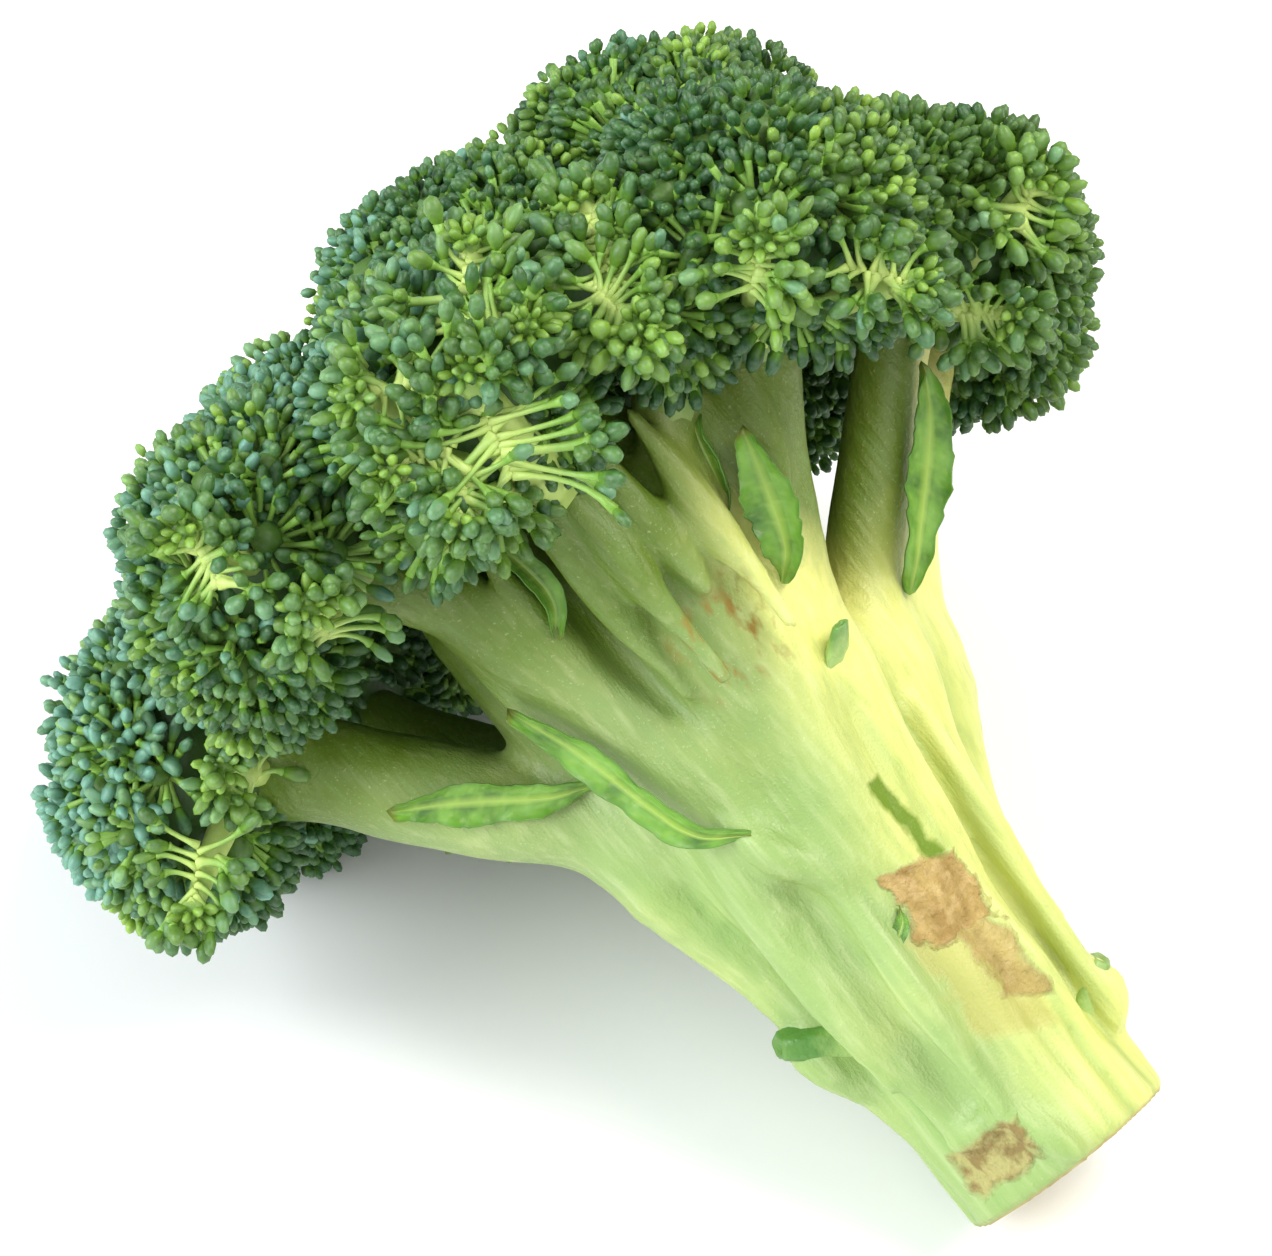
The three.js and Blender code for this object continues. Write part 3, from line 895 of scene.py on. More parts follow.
@dataclass
class Skin:
    """The rind of the stalk and all its branches, as one smooth surface.

    It is the zero level of a field: the distance to the stalk's flared cone, joined by rounded
    minima with the distances to tapered strands. Each branch is a strand, and a thinner strand
    below it runs down the stalk as a ridge. A fold is a short strand given by its start, its end
    and its radius: a rib, a swelling, or a filling between two branches.
    """
    step: float = 1.0
    low: Point = (-82.0, -58.0, -3.0)
    high: Point = (84.0, 72.0, 160.0)
    fillet: float = 5.5
    ridge_fillet: float = 3.2
    crown_height: float = 98.0
    folds: tuple[tuple[Point, Point, float], ...] = (
        ((-15, -17, 26), (-14, -24, 78), 2.4), ((-3, -21, 8), (-1, -27, 62), 2.2),
        ((-1, -27, 58), (-9, -29, 74), 2.6), ((13.6, -12.4, 5), (13.4, -20.4, 64), 2.6),
        ((15, -22, 60), (20, -22, 86), 2.4), ((18.5, -8, 12), (25, -10, 70), 2.4),
        ((3, -22, 60), (6, -30, 100), 3.0), ((-4, -27, 70), (-8, -30, 100), 2.4),
        ((15.3, -18.6, 49), (13.4, -20.6, 69), 1.7),
        ((-19.5, -9, 30), (-22.6, -10.3, 41), 3.3), ((19.6, -5, 14), (20.8, -6, 20.5), 3.1),
        ((-3, -19.2, 12.5), (2.5, -20, 1), 2.2), ((-13.5, -14.5, 13.5), (-3.5, -19.2, 14), 1.8),
                                                     ((30, -36, 108), (38, -38, 128), 3.4),
        ((12, -41, 104), (12.5, -49, 130), 2.8), ((0, -34, 94), (-1, -46, 130), 3.0),
        ((6, -39, 92), (5, -50.5, 131), 2.6), ((19, -37, 92), (20, -48.5, 131), 2.8),
        ((26, -31, 100), (29, -41, 128), 2.6), ((-10, -26, 88), (-11, -38, 128), 3.0),
        ((-20, -22, 84), (-23, -30, 124), 2.6), ((-5, -14, 74), (-8, -24, 146), 10.0),
        ((7, -14, 80), (13, -32, 140), 11.0), ((20, -20, 90), (30, -34, 140), 9.0),
        ((-17, -10, 80), (-24, -16, 130), 8.0))
    name: str = "stalk_skin"

    def strand(self, values: Array, path: Array, radii: Array, fillet: float) -> None:
        """Joins a tapered strand to the field, within the part of the grid that it reaches.

        Args:
            values: The field, changed in place.
            path: The strand's middle line, (k, 3).
            radii: Its radius at each point, (k,).
            fillet: The width of the rounded join.
        """
        low = np.array(self.low)
        reach = radii.max() + 2 * fillet
        first = np.maximum(np.floor((path.min(0) - reach - low) / self.step).astype(int), 0)
        last = np.minimum(np.ceil((path.max(0) + reach - low) / self.step).astype(int) + 1,
                          values.shape)
        axes = [low[k] + self.step * np.arange(first[k], last[k]) for k in range(3)]
        place = np.stack(np.meshgrid(*axes, indexing="ij"), -1).astype(np.float32)
        own = np.full(place.shape[:3], np.inf, np.float32)
        for a, b, ra, rb in zip(path[:-1], path[1:], radii[:-1], radii[1:]):
            run = (b - a).astype(np.float32)
            t = np.clip(((place - a.astype(np.float32)) @ run) / (run @ run), 0, 1)
            away = np.linalg.norm(place - (a + t[..., None] * run).astype(np.float32), axis=-1)
            own = np.minimum(own, away - (ra + (rb - ra) * t))
        part = tuple(slice(i, j) for i, j in zip(first, last))
        old = values[part]
        h = np.clip(0.5 + 0.5 * (old - own) / fillet, 0, 1)
        values[part] = old + (own - old) * h - fillet * h * (1 - h)

    def ridge(self, plan: BranchPlan) -> tuple[Array, Array]:
        """The strand that runs down the stalk below a branch. Its outer side starts 1.7 mm inside
        the stalk's radius and stands at most 1.8 mm outside it before it joins the branch.

        Returns:
            Its middle line and its radii.
        """
        bend = np.array(plan.path[1], float)
        to = math.atan2(bend[1], bend[0])
        start = math.radians(plan.root[0])
        t = np.linspace(0, 1, 14)
        turn = start + math.remainder(to - start, 2 * math.pi) * t**1.5
        height = plan.root[1] + (bend[2] - plan.root[1]) * t
        radius = 2.2 + (plan.foot - 3.0) * t**1.6
        out = (stalk_radius(height) - radius - 1.9 + 2.3 * ease(t, 0.0, 0.25)
               + 1.4 * np.sin(math.pi * np.minimum(t * 0.8 + 0.05, 1)))
        out = out + (np.hypot(bend[0], bend[1]) - out) * ease(t, 0.6, 1.0)
        return np.stack([out * np.cos(turn), out * np.sin(turn), height], 1), radius

    def lobes(self, angle: Array, height: Array) -> Array:
        """The stalk's soft lengthwise lobes, with a sharper line between each two: the size of a
        cosine of the angle, whose widths vary round the stalk and which turns a little with
        height."""
        warped = (angle + 0.3 * np.sin(2 * angle + 0.6) + 0.16 * np.sin(3 * angle + 2.0)
                  + 0.0022 * height)
        wide = np.abs(np.cos(4.0 * warped))
        fine = np.abs(np.cos(9.5 * warped + 0.02 * height))
        return 1.9 * (wide**0.6 - 0.75) + 0.55 * (fine**0.5 - 0.7)

    def field(self) -> Array:
        """The field on the whole grid."""
        low, high = np.array(self.low), np.array(self.high)
        axes = [np.arange(low[k], high[k], self.step, dtype=np.float32) for k in range(3)]
        x, y, z = np.meshgrid(*axes, indexing="ij")
        around = np.hypot(x, y)
        side = around - (stalk_radius(z) - 0.6 - 1.0 * ease(z, 6, 24) - 3.0 * ease(z, 20, 75))
        top = (z - (self.crown_height - around**2 / 80)) * 0.8
        h = np.clip(0.5 - 0.5 * (side - top) / 8.0, 0, 1)
        values = side + (top - side) * h + 8.0 * h * (1 - h)
        for name, plan in PLAN.items():
            path = smooth_path(plan.path, 13)
            t = np.linspace(0, 1, 13)
            radii = plan.foot + (plan.top - plan.foot) * np.sin(t * math.pi / 2) - 0.6
            self.strand(values, path, radii,
                        self.fillet + (3.0 if name.startswith("front_") else 0.0))
        for plan in PLAN.values():
            if plan.root[1] < 50:
                self.strand(values, *self.ridge(plan), self.ridge_fillet)
        for start, end, radius in self.folds:
            a, b = np.array(start, float), np.array(end, float)
            t = np.linspace(0, 1, 9)[:, None]
            self.strand(values, a + (b - a) * t, radius * (0.45 + 0.55 * np.sin(t[:, 0] * math.pi)),
                        2.0 + 0.3 * radius)
        place = np.stack([x, y, z], -1)
        angle = np.arctan2(y, x)
        lobes = self.lobes(angle, z) * ease(z, -4, 8) * (1 - ease(z, 68, 100))
        values -= lobes.astype(np.float32)
        waves = 0.25 * np.sin(0.23 * z + 2 * angle) + 0.2 * np.sin(0.41 * x + 0.33 * y - 0.12 * z)
        values += waves.astype(np.float32)
        torn = sum(inside_box(place, box, 0.7) * depth for box, depth in zip(SCARS, SCAR_DEPTHS))
        return np.maximum(values + np.minimum(torn, 1.4).astype(np.float32), -z)

    def marks(self, points: Array) -> dict[str, Array]:
        """The attributes of the rind at points of its surface.

        Returns:
            rest, the upright place in mm; bleach, how cream the rind is, partly its own colour and
            partly painted light on its lit right side; shade, how olive it is, partly its own
            colour and partly painted shade on the upper branches, which lie in shadow; groove, how
            deep between two lobes, where the rind is darkened as painted shade; cut and ring, the
            cut face and its rings.
        """
        x, y, z = points.T
        around, angle = np.hypot(x, y), np.arctan2(y, x)
        cut = 1 - ease(z, 0.15, 0.7)
        near = (z > 0.6) & (z < 3.0)
        bins = ((angle[near] + math.pi) / (2 * math.pi) * 72).astype(int) % 72
        rim = np.bincount(bins, around[near], 72) / np.maximum(np.bincount(bins, minlength=72), 1)
        rim = np.where(rim > 0, rim, 20.0)
        ring = around / np.interp(angle, np.linspace(-math.pi, math.pi, 72), rim)
        # bleach is partly painted light: the rind turns cream towards its lit right side, less so
        # higher up.
        cream_and_painted_light = 0.95 * ease(x - 0.16 * np.maximum(z - 50, 0), -2, 19)
        # shade is partly painted shade: the upper branches and the right branch lie in shadow,
        # outer keeps the lit outer edge of the right branch bright, and the middle of the stalk is
        # darker too.
        outer = ease(x - 38 - 0.78 * (z - 80), -8, -2)
        right = ease(x, 22, 34) * ease(z, 80, 98) * (1 - outer)
        shade = ((0.26 * ease(z, 68, 96) * (1 - ease(x, 12, 22)) + 0.8 * ease(z, 96, 122))
                 * (1 - 0.6 * outer))
        shade = np.clip(shade + 0.85 * right + 0.32 * hump(x, 0, 10) * ease(z, 42, 70), 0, 0.95)
        # groove darkens the rind between two lobes as painted shade.
        groove = np.clip(0.55 - self.lobes(angle, z) * 0.5, 0, 1) * (1 - ease(z, 68, 95))
        return {"rest": points, "cream_and_painted_light": cream_and_painted_light, "shade": shade, "groove": groove,
                "cut": cut, "ring": np.clip(ring, 0, 1)}

    def build(self) -> bpy.types.Object:
        """Builds the skin, which stands for the stalk, the foot stub and every branch."""
        points, quads = level_surface(self.field(), np.array(self.low), self.step)
        flat = points[:, 2] < 0.05
        points = relax(points, quads, 2, 0.5)
        points[flat, 2] = 0.0
        points[:, 0] += 4.6 * ease(-points[:, 0], 6, 24) * hump(points[:, 2], 79, 15)
        piece = make_piece(self.name, points, quads, self.marks(points))
        piece.data.materials.append(RindFinish().material())
        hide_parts("stalk", "stub_foot", *(f"branch_{name}" for name in PLAN))
        return piece


# ------------------------------------------------------------------ the crown

@dataclass
class Tufts:
    """The tufts of one floret.

    Attributes:
        middle: The middle of each tuft's dome, (n, 3).
        normal: The way each tuft faces, (n, 3).
        size: The radius of each dome, (n,).
    """
    middle: Array
    normal: Array
    size: Array

    def loose(self) -> Array:
        """How open each tuft is: the near side's lower tufts are, and the others are tight."""
        return ease(-self.normal[:, 1], 0.25, 0.8) * (1 - ease(self.normal[:, 2], 0.45, 0.9))


# The gap, width and length of the buds on the middle and rear heads, mm.
FAR_BUDS = (2.2, 2.2, 3.9)


@dataclass
class Floret:
    """The head of buds on one branch: tufts spread evenly over a broad dome.

    Sizes are in mm. The dome is wider than tall by spread, and is drawn in below.
    """
    name: str
    plan: BranchPlan
    seed: int
    spread: float = 1.18
    tuft_gap: float = 11.0
    tuft_size: float = 5.6
    bud_gap: float = 2.35
    bud_width: float = 2.4
    bud_length: float = 4.5
    lowest: float = -0.6

    def frame(self) -> Array:
        """The dome's frame, whose third axis is the way it faces."""
        return upright_frames(self.plan.axis()[None], np.zeros(1))[0]

    def dome(self, ways: Array) -> tuple[Array, Array]:
        """The dome's surface in some directions from its middle.

        A point is the direction, times spread across, times radius, and less 0.4 of it below.

        Args:
            ways: Unit vectors in the dome's own frame, (n, 3).

        Returns:
            Points and normals of the upright head.
        """
        under = ease(-ways[:, 2], 0.1, 1.0)
        wide = np.array([self.spread, self.spread, 1.0])
        points = ways * wide * (self.plan.radius * (1 - 0.4 * under))[:, None]
        normals = unit(ways / wide)
        turn = self.frame().T
        return points @ turn + self.plan.centre, normals @ turn

    def tufts(self, rng: np.random.Generator) -> Tufts:
        """Spreads the tufts in a spiral of even area over the dome, less those beyond the planes
        in which it meets its neighbours, those against its own branch and those where an open
        cluster stands."""
        area = 4 * math.pi * (self.plan.radius * (1 + 2 * self.spread) / 3) ** 2
        total = int(area / (0.87 * self.tuft_gap**2))
        k = np.arange(total) + 0.5
        z = 1 - 2 * k / total
        turn = k * GOLDEN + self.seed
        flat = np.sqrt(1 - z**2)
        ways = unit(np.stack([flat * np.cos(turn), flat * np.sin(turn), z], 1)
                    + rng.normal(0, 0.05, (total, 3)))
        ways = ways[z > self.lowest]
        points, normals = self.dome(ways)
        keep = np.ones(len(points), bool)
        mine = np.array(self.plan.centre, float)
        for name, other in PLAN.items():
            if name == self.name:
                continue
            theirs = np.array(other.centre, float)
            apart = np.linalg.norm(theirs - mine)
            way = (theirs - mine) / apart
            reach = (apart**2 + self.plan.radius**2 - other.radius**2) / (2 * apart)
            keep &= (points - mine) @ way < reach - 0.8
        branch = smooth_path(self.plan.path, 30)
        gap = np.linalg.norm(points[:, None] - branch[None], axis=2).min(axis=1)
        keep &= gap > self.plan.top + 5.0
        points, normals = points[keep], normals[keep]
        size = self.tuft_size * rng.uniform(0.78, 1.25, len(points))
        normals = unit(normals + rng.normal(0, 0.12, normals.shape))
        drop = 0.85 * size + 2.0 + rng.uniform(-1.5, 1.9, len(points))
        middle = points - normals * drop[:, None]
        clear = np.ones(len(middle), bool)
        for raceme in self.racemes():
            clear &= line_gap(points, *raceme.line(self)) > 5.5 + 0.5 * raceme.reach
        return Tufts(middle[clear], normals[clear], size[clear])

    def buds(self, tufts: Tufts, rng: np.random.Generator) -> tuple[Spindles, Array, Array]:
        """The buds of all tufts: a spiral over each tuft's dome, small and tight in the middle and
        longer towards the rim.

        Returns:
            The buds, and for each the place of its foot and the number of its tuft.
        """
        loose = tufts.loose()
        sites = ((5.6 - 1.7 * loose) * tufts.size**2 / (0.87 * self.bud_gap**2)).astype(int)
        owner = np.repeat(np.arange(len(sites)), sites)
        rank = np.concatenate([np.arange(n) + 0.5 for n in sites])
        share = np.sqrt(rank / sites[owner])
        tilt = math.radians(110) * share ** (1.25 - 0.35 * loose[owner])
        turn = rank * GOLDEN + rng.uniform(0, 6.28, len(sites))[owner]
        axes = upright_frames(tufts.normal, np.zeros(len(sites)))[owner]
        local = polar(tilt, turn) * [1.0, 1.0, TUFT_FLATNESS]
        way = np.einsum("nij,nj->ni", axes, local)
        way = unit(way + rng.normal(0, 0.08, way.shape))
        size = tufts.size[owner] * (1 + rng.normal(0, 0.07, len(owner)))
        size = size * (1 + loose[owner] * (0.05 + 0.3 * share * rng.random(len(owner))))
        foot = tufts.middle[owner] + way * size[:, None]
        lean = unit(way + tufts.normal[owner] * 0.4 * share[:, None]
                    + rng.normal(0, 0.16, way.shape))
        grown = 0.7 + 0.44 * share + rng.normal(0, 0.09, len(owner))
        width = self.bud_width * 0.5 * np.clip(grown, 0.5, 1.35)
        length = self.bud_length * (0.55 + 0.6 * share) * np.clip(grown, 0.5, 1.35) ** 0.5
        keen = rng.random(len(sites))[owner]
        young = keen**3 * 0.8 * (1 - ease(share, 0.1, 0.7)) + 0.25 * (keen > 0.8)
        young = np.clip(young + rng.normal(0.2 * ease(foot[:, 0], 55, 85), 0.06), 0, 1)
        # Partly the waxy bloom on the tops and partly painted light: buds that face up and to the
        # left, and those on the head's left, where the lamp falls, get a lighter, bluer tint.
        bloom = (0.2 + 0.38 * tufts.normal[owner, 2] - 0.16 * tufts.normal[owner, 0]
                 - 0.005 * foot[:, 0])
        tint = np.clip(bloom + 0.15 * rng.normal(0, 1, len(owner)) + 0.12
                       * rng.normal(0, 1, len(sites))[owner], 0, 1)
        keep = np.ones(len(foot), bool)
        for raceme in self.racemes():
            keep &= line_gap(foot, *raceme.line(self)) > 2.4 + 0.5 * raceme.reach
        parts = (foot, lean, width, length, tint, young, owner)
        foot, lean, width, length, tint, young, owner = (part[keep] for part in parts)
        return bud_shapes(foot, lean, width, length, rng, tint, young), foot, owner

    def racemes(self) -> list["Raceme"]:
        """The open clusters that belong to this floret."""
        return [raceme for raceme in RACEMES if raceme.on == self.name]

    def near_side(self, x: float, z: float) -> Array:
        """The point of the dome's near side at an X and a Z, from the ellipsoid's equation, drawn
        in below as the dome is."""
        frame, middle = self.frame(), np.array(self.plan.centre, float)
        scale = self.plan.radius * np.array([self.spread, self.spread, 1.0])
        start = (frame.T @ (np.array([x, 0.0, z]) - middle * [1, 0, 1])) / scale
        step = (frame.T @ np.array([0.0, 1.0, 0.0])) / scale
        a, b, c = step @ step, start @ step, start @ start - 1
        y = (-b - math.sqrt(max(b * b - a * c, 0.0))) / a
        offset = np.array([x, 0.0, z]) - middle * [1, 0, 1] + np.array([0.0, y, 0.0])
        under = ease(-(frame.T @ offset)[2] / np.linalg.norm(offset), 0.1, 1.0)
        return middle + offset * (1 - 0.4 * under)

    def stems(self, tufts: Tufts, foot: Array, owner: Array) -> list[Spindles]:
        """Everything below the buds: boughs from the branch's top, a stalk that widens into a
        cushion under each tuft, a pedicel under each bud of a tuft's rim, and a dense core.

        Returns:
            One bundle of each kind.
        """
        heart = np.array(self.plan.path[-1], float)
        chosen = [int(np.argmax((tufts.middle - heart) @ self.plan.axis()))]
        for _ in range(6):
            gap = np.linalg.norm(tufts.middle[:, None] - tufts.middle[chosen], axis=2).min(axis=1)
            if gap.max() > 0:
                chosen.append(int(np.argmax(gap)))
        group = np.linalg.norm(tufts.middle[:, None] - tufts.middle[chosen], axis=2).argmin(axis=1)
        means = np.stack([tufts.middle[group == g].mean(axis=0) for g in range(len(chosen))])
        knot = heart + (means - heart) * 0.52
        bough = bows(np.broadcast_to(heart - self.plan.axis() * 4, knot.shape), knot,
                     np.broadcast_to(self.plan.axis(), knot.shape), 0.25, 7)
        boughs = tubes(bough, np.linspace(4.4, 3.0, 7) * np.ones((len(knot), 1)), 9)
        base = tufts.middle - tufts.normal * tufts.size[:, None] * 0.7
        way = unit(means - heart)[group]
        arm = bows(knot[group], base, way, 0.4, 7)
        arms = tubes(arm, np.linspace(2.5, 1.6, 7) * np.ones((len(base), 1)), 7)
        rise = np.array([-0.75, -0.45, -0.05, 0.25, 0.45, 0.56])
        wide = np.array([0.24, 0.42, 0.64, 0.68, 0.56, 0.28])
        line = (tufts.middle[:, None]
                + tufts.normal[:, None] * (tufts.size[:, None] * rise)[..., None])
        loose = tufts.loose()
        cushions = tubes(line, (tufts.size * (1 - 0.48 * loose))[:, None] * wide, 9)
        share = np.einsum("ni,ni->n", unit(foot - tufts.middle[owner]), tufts.normal[owner])
        outer = share < 0.55 + 0.3 * loose[owner]
        start = (tufts.middle - tufts.normal * tufts.size[:, None] * 0.35)[owner[outer]]
        curve = bows(start, foot[outer] + 0.25 * unit(foot[outer] - start),
                     tufts.normal[owner[outer]], -0.15, 4)
        pedicels = tubes(curve, np.array([0.75, 0.5, 0.45, 0.7]) * np.ones((len(curve), 1)), 5)
        h = np.linspace(-0.62, 0.97, 9)
        deep = self.plan.radius - 8.5
        ball = np.array(self.plan.centre, float) + self.plan.axis() * (deep * h)[:, None]
        core = tubes(ball[None], (self.spread * deep * np.sqrt(1 - h**2)
                                  * (1 - 0.25 * ease(-h, 0, 0.6)))[None], 20)
        # Each deep mark is painted shade: the deeper a part lies in the floret, the darker its
        # stems, down to the dark core.
        depths = ((boughs, 0.4), (arms, 0.35), (cushions, 0.75), (pedicels, 0.0), (core, 1.0))
        for bundle, depth in depths:
            bundle.marks["deep"] = np.full_like(bundle.marks["along"], depth)
        return [bundle for bundle, _ in depths]

    def build(self, bud_finish: bpy.types.Material, stem_finish: bpy.types.Material) -> None:
        """Builds the floret's buds and stems, which stand for its packed dome."""
        rng = np.random.default_rng(self.seed)
        if self.name.startswith(("centre", "rear")):
            self.bud_gap, self.bud_width, self.bud_length = FAR_BUDS
        tufts = self.tufts(rng)
        buds, foot, owner = self.buds(tufts, rng)
        grown = [raceme.grow(self, rng) for raceme in self.racemes()]
        piece = join_spindles(f"buds_{self.name}", [buds] + [cluster[0] for cluster in grown])
        piece.data.materials.append(bud_finish)
        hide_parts(f"floret_{self.name}")
        bundles = self.stems(tufts, foot,
                             owner) + [part for cluster in grown for part in cluster[1:]]
        stems = join_spindles(f"stems_{self.name}", bundles)
        stems.data.materials.append(stem_finish)


def line_gap(points: Array, start: Array, end: Array) -> Array:
    """The distance of points from the line between start and end."""
    run = end - start
    t = np.clip(((points - start) @ run) / (run @ run), 0, 1)
    return np.linalg.norm(points - start - t[:, None] * run, axis=1)


@dataclass(frozen=True)
class Raceme:
    """An open cluster on a floret's near side: a bare axis, and pedicels that fan from it and end
    in buds, down and out at its start, and up at its tip. Three in ten pedicels end in four twigs.

    Attributes:
        on: Its floret.
        start: X and Z of its start, mm.
        tip: X and Z of its tip, mm.
        reach: The length of its pedicels, mm.
        count: How many pedicels it has.
        young: How yellow its buds are.
        thick: The radius of its axis at its start, mm.
    """
    on: str
    start: tuple[float, float]
    tip: tuple[float, float]
    reach: float
    count: int
    young: float = 0.2
    thick: float = 1.9

    def line(self, floret: Floret) -> tuple[Array, Array]:
        """Its start, 2 mm inside the floret's dome, and its tip, 1 mm outside it."""
        start, tip = floret.near_side(*self.start), floret.near_side(*self.tip)
        inward = unit(np.array(floret.plan.centre) - (start + tip) / 2)
        return start + inward * 2.0, tip - inward * 1.0

    def grow(self, floret: Floret, rng: np.random.Generator) -> list[Spindles]:
        """Builds the cluster.

        Returns:
            Its buds, its axis, its pedicels, its twigs and the cushion at its tip.
        """
        start, tip = self.line(floret)
        out = unit((start + tip) / 2 - np.array(floret.plan.centre))
        along = unit(tip - start)
        across = unit(np.cross(along, out))
        heart = np.array(floret.plan.path[-1], float)
        line = bows(np.stack([heart + (start - heart) * 0.35]), tip[None],
                    unit((start - heart))[None], 0.22, 12)
        axis = tubes(line, np.linspace(self.thick * 1.5, self.thick * 0.7, 12)[None], 10)
        k = np.arange(self.count)
        t = (k + 0.5) / self.count
        root = start + (tip - start) * (0.05 + 0.95 * t[:, None])
        side = np.where(k % 2 == 0, 1.0, -1.0)
        rake = -0.8 + 1.9 * t + rng.normal(0, 0.3, self.count)
        rise = -0.15 + 0.75 * rng.random(self.count)
        way = unit(across * (side * np.cos(rake))[:, None] + along * np.sin(rake)[:, None] + out
                   * rise[:, None])
        length = self.reach * (1.0 - 0.35 * t) * rng.uniform(0.6, 1.2, self.count)
        end = root + way * length[:, None]
        bend = unit(across * side[:, None] + along * rng.normal(-0.2, 0.5, self.count)[:, None]
                    - out * 0.5)
        curve = bows(root, end, bend, 0.24, 7)
        stout = rng.random(self.count) < 0.3
        thin = np.array([0.8, 0.5, 0.42, 0.42, 0.46, 0.6,
                         0.85]) * np.where(stout, 1.6, 1.0)[:, None]
        pedicels = tubes(curve, thin, 6)
        last = unit(unit(curve[:, -1] - curve[:, -2]) + out * 0.3 + rng.normal(0, 0.15, end.shape))
        whorl = np.repeat(np.arange(self.count)[stout], 4)
        turn = np.tile(np.arange(4) * math.pi / 2,
                       int(stout.sum())) + rng.normal(0, 0.2, len(whorl))
        frames = upright_frames(last[whorl], np.zeros(len(whorl)))
        splay = 0.75 + rng.normal(0, 0.12, len(whorl))
        spoke = unit(np.einsum("nij,nj->ni", frames, polar(splay, turn)))
        knot = end[whorl] - last[whorl] * 2.2
        tips = knot + spoke * rng.uniform(1.8, 2.8, len(whorl))[:, None]
        twigs = tubes(bows(knot - last[whorl] * 0.8, tips, spoke, 0.1, 4),
                      np.array([0.7, 0.5, 0.5, 0.8]) * np.ones((len(whorl), 1)), 5)
        crown = 16
        j = np.arange(crown) + 0.5
        lean = 1.35 * np.sqrt(j / crown)
        turn = j * GOLDEN
        top = unit(out + along * 0.6)
        frame = upright_frames(top[None], np.zeros(1))[0]
        star = polar(lean, turn) @ frame.T
        foot = np.concatenate([end - last * 0.3, tips, tip + star * 2.0])
        aim = np.concatenate([last, spoke, star])
        many = self.count + len(whorl)
        width = np.concatenate([1.38 * rng.uniform(0.75, 1.2, many), 0.65 + 0.35 * lean / 1.35])
        tall = np.concatenate([4.5 * rng.uniform(0.8, 1.15, many), 2.4 + 1.2 * lean / 1.35])
        young = np.concatenate([self.young * rng.uniform(0.2, 0.8, many),
                                0.55 + 0.4 * rng.random(crown)])
        tint = np.clip(rng.normal(0.42, 0.17, many + crown), 0, 1)
        buds = bud_shapes(foot, aim, width, tall, rng, tint, young)
        cushion = tubes(np.stack([tip - top * 1.5, tip, tip + top * 1.4])[None],
                        np.array([[1.4, 2.2, 1.6]]), 9)
        # Painted shade by depth, as in the floret: none on the axis, pedicels and twigs, a little
        # on the cushion.
        for bundle, deep in ((axis, -0.3), (pedicels, -0.3), (twigs, -0.1), (cushion, 0.1)):
            bundle.marks["deep"] = np.full_like(bundle.marks["along"], deep)
        axis.marks["along"] = axis.marks["along"] * 0.2
        return [buds, axis, pedicels, twigs, cushion]


RACEMES = (
    Raceme("front", (1.8, 129.5), (6.2, 146.5), 13.5, 28, 0.3, 3.4),
    Raceme("front", (10.7, 151), (16.5, 146), 10, 16, 0.2),
    Raceme("front", (8, 152.7), (17, 161.6), 9, 18, 0.6, 2.3),
    Raceme("front_mid", (29.7, 143.3), (34, 158), 8.5, 20, 0.4, 2.5),
    Raceme("front_mid", (27.5, 147), (29, 137), 7.5, 22, 1.0),
    Raceme("front_left", (-42, 146.4), (-41, 155.5), 8, 18, 0.3),
    Raceme("front_left", (-34.6, 129), (-33.7, 136.4), 8, 20, 0.6),
    Raceme("left", (-58.5, 121.3), (-62.3, 129), 8, 20, 0.9),
    Raceme("front", (-1.8, 139), (-10.6, 142.6), 9.5, 14, 0.4, 2.3),
    Raceme("front", (-2.6, 134.6), (-8, 131), 9, 14, 0.3),
    Raceme("front", (0, 149.6), (-8, 153), 9.5, 12, 0.5),
    Raceme("left", (-74, 121.4), (-81, 115.7), 7.5, 12, 0.5),
    Raceme("front_right", (44.5, 130.5), (50.7, 135.8), 7.5, 16, 0.9),
    Raceme("right", (66, 111.5), (75, 108), 8, 20, 0.5, 1.3),
    Raceme("right", (84, 117), (89, 123), 7, 14, 1.0),
    Raceme("front_right", (58, 125), (64, 119), 7, 14, 0.3),
)


def bows(start: Array, end: Array, way: Array, bend: float, steps: int) -> Array:
    """Lines from start to end that leave along way: quadratic curves whose middle control point is
    the half-way point moved along way by bend times the length.

    Args:
        start: Start points, (n, 3).
        end: End points, (n, 3).
        way: The way in which each curve bulges, (n, 3).
        bend: How far it bulges, as a part of its length.
        steps: How many points each curve has.

    Returns:
        The curves, (n, steps, 3).
    """
    length = np.linalg.norm(end - start, axis=1, keepdims=True)
    control = (start + end) / 2 + way * length * bend
    t = np.linspace(0, 1, steps)[None, :, None]
    return start[:, None] * (1 - t) ** 2 + control[:, None] * 2 * t * (1 - t) + end[:, None] * t**2


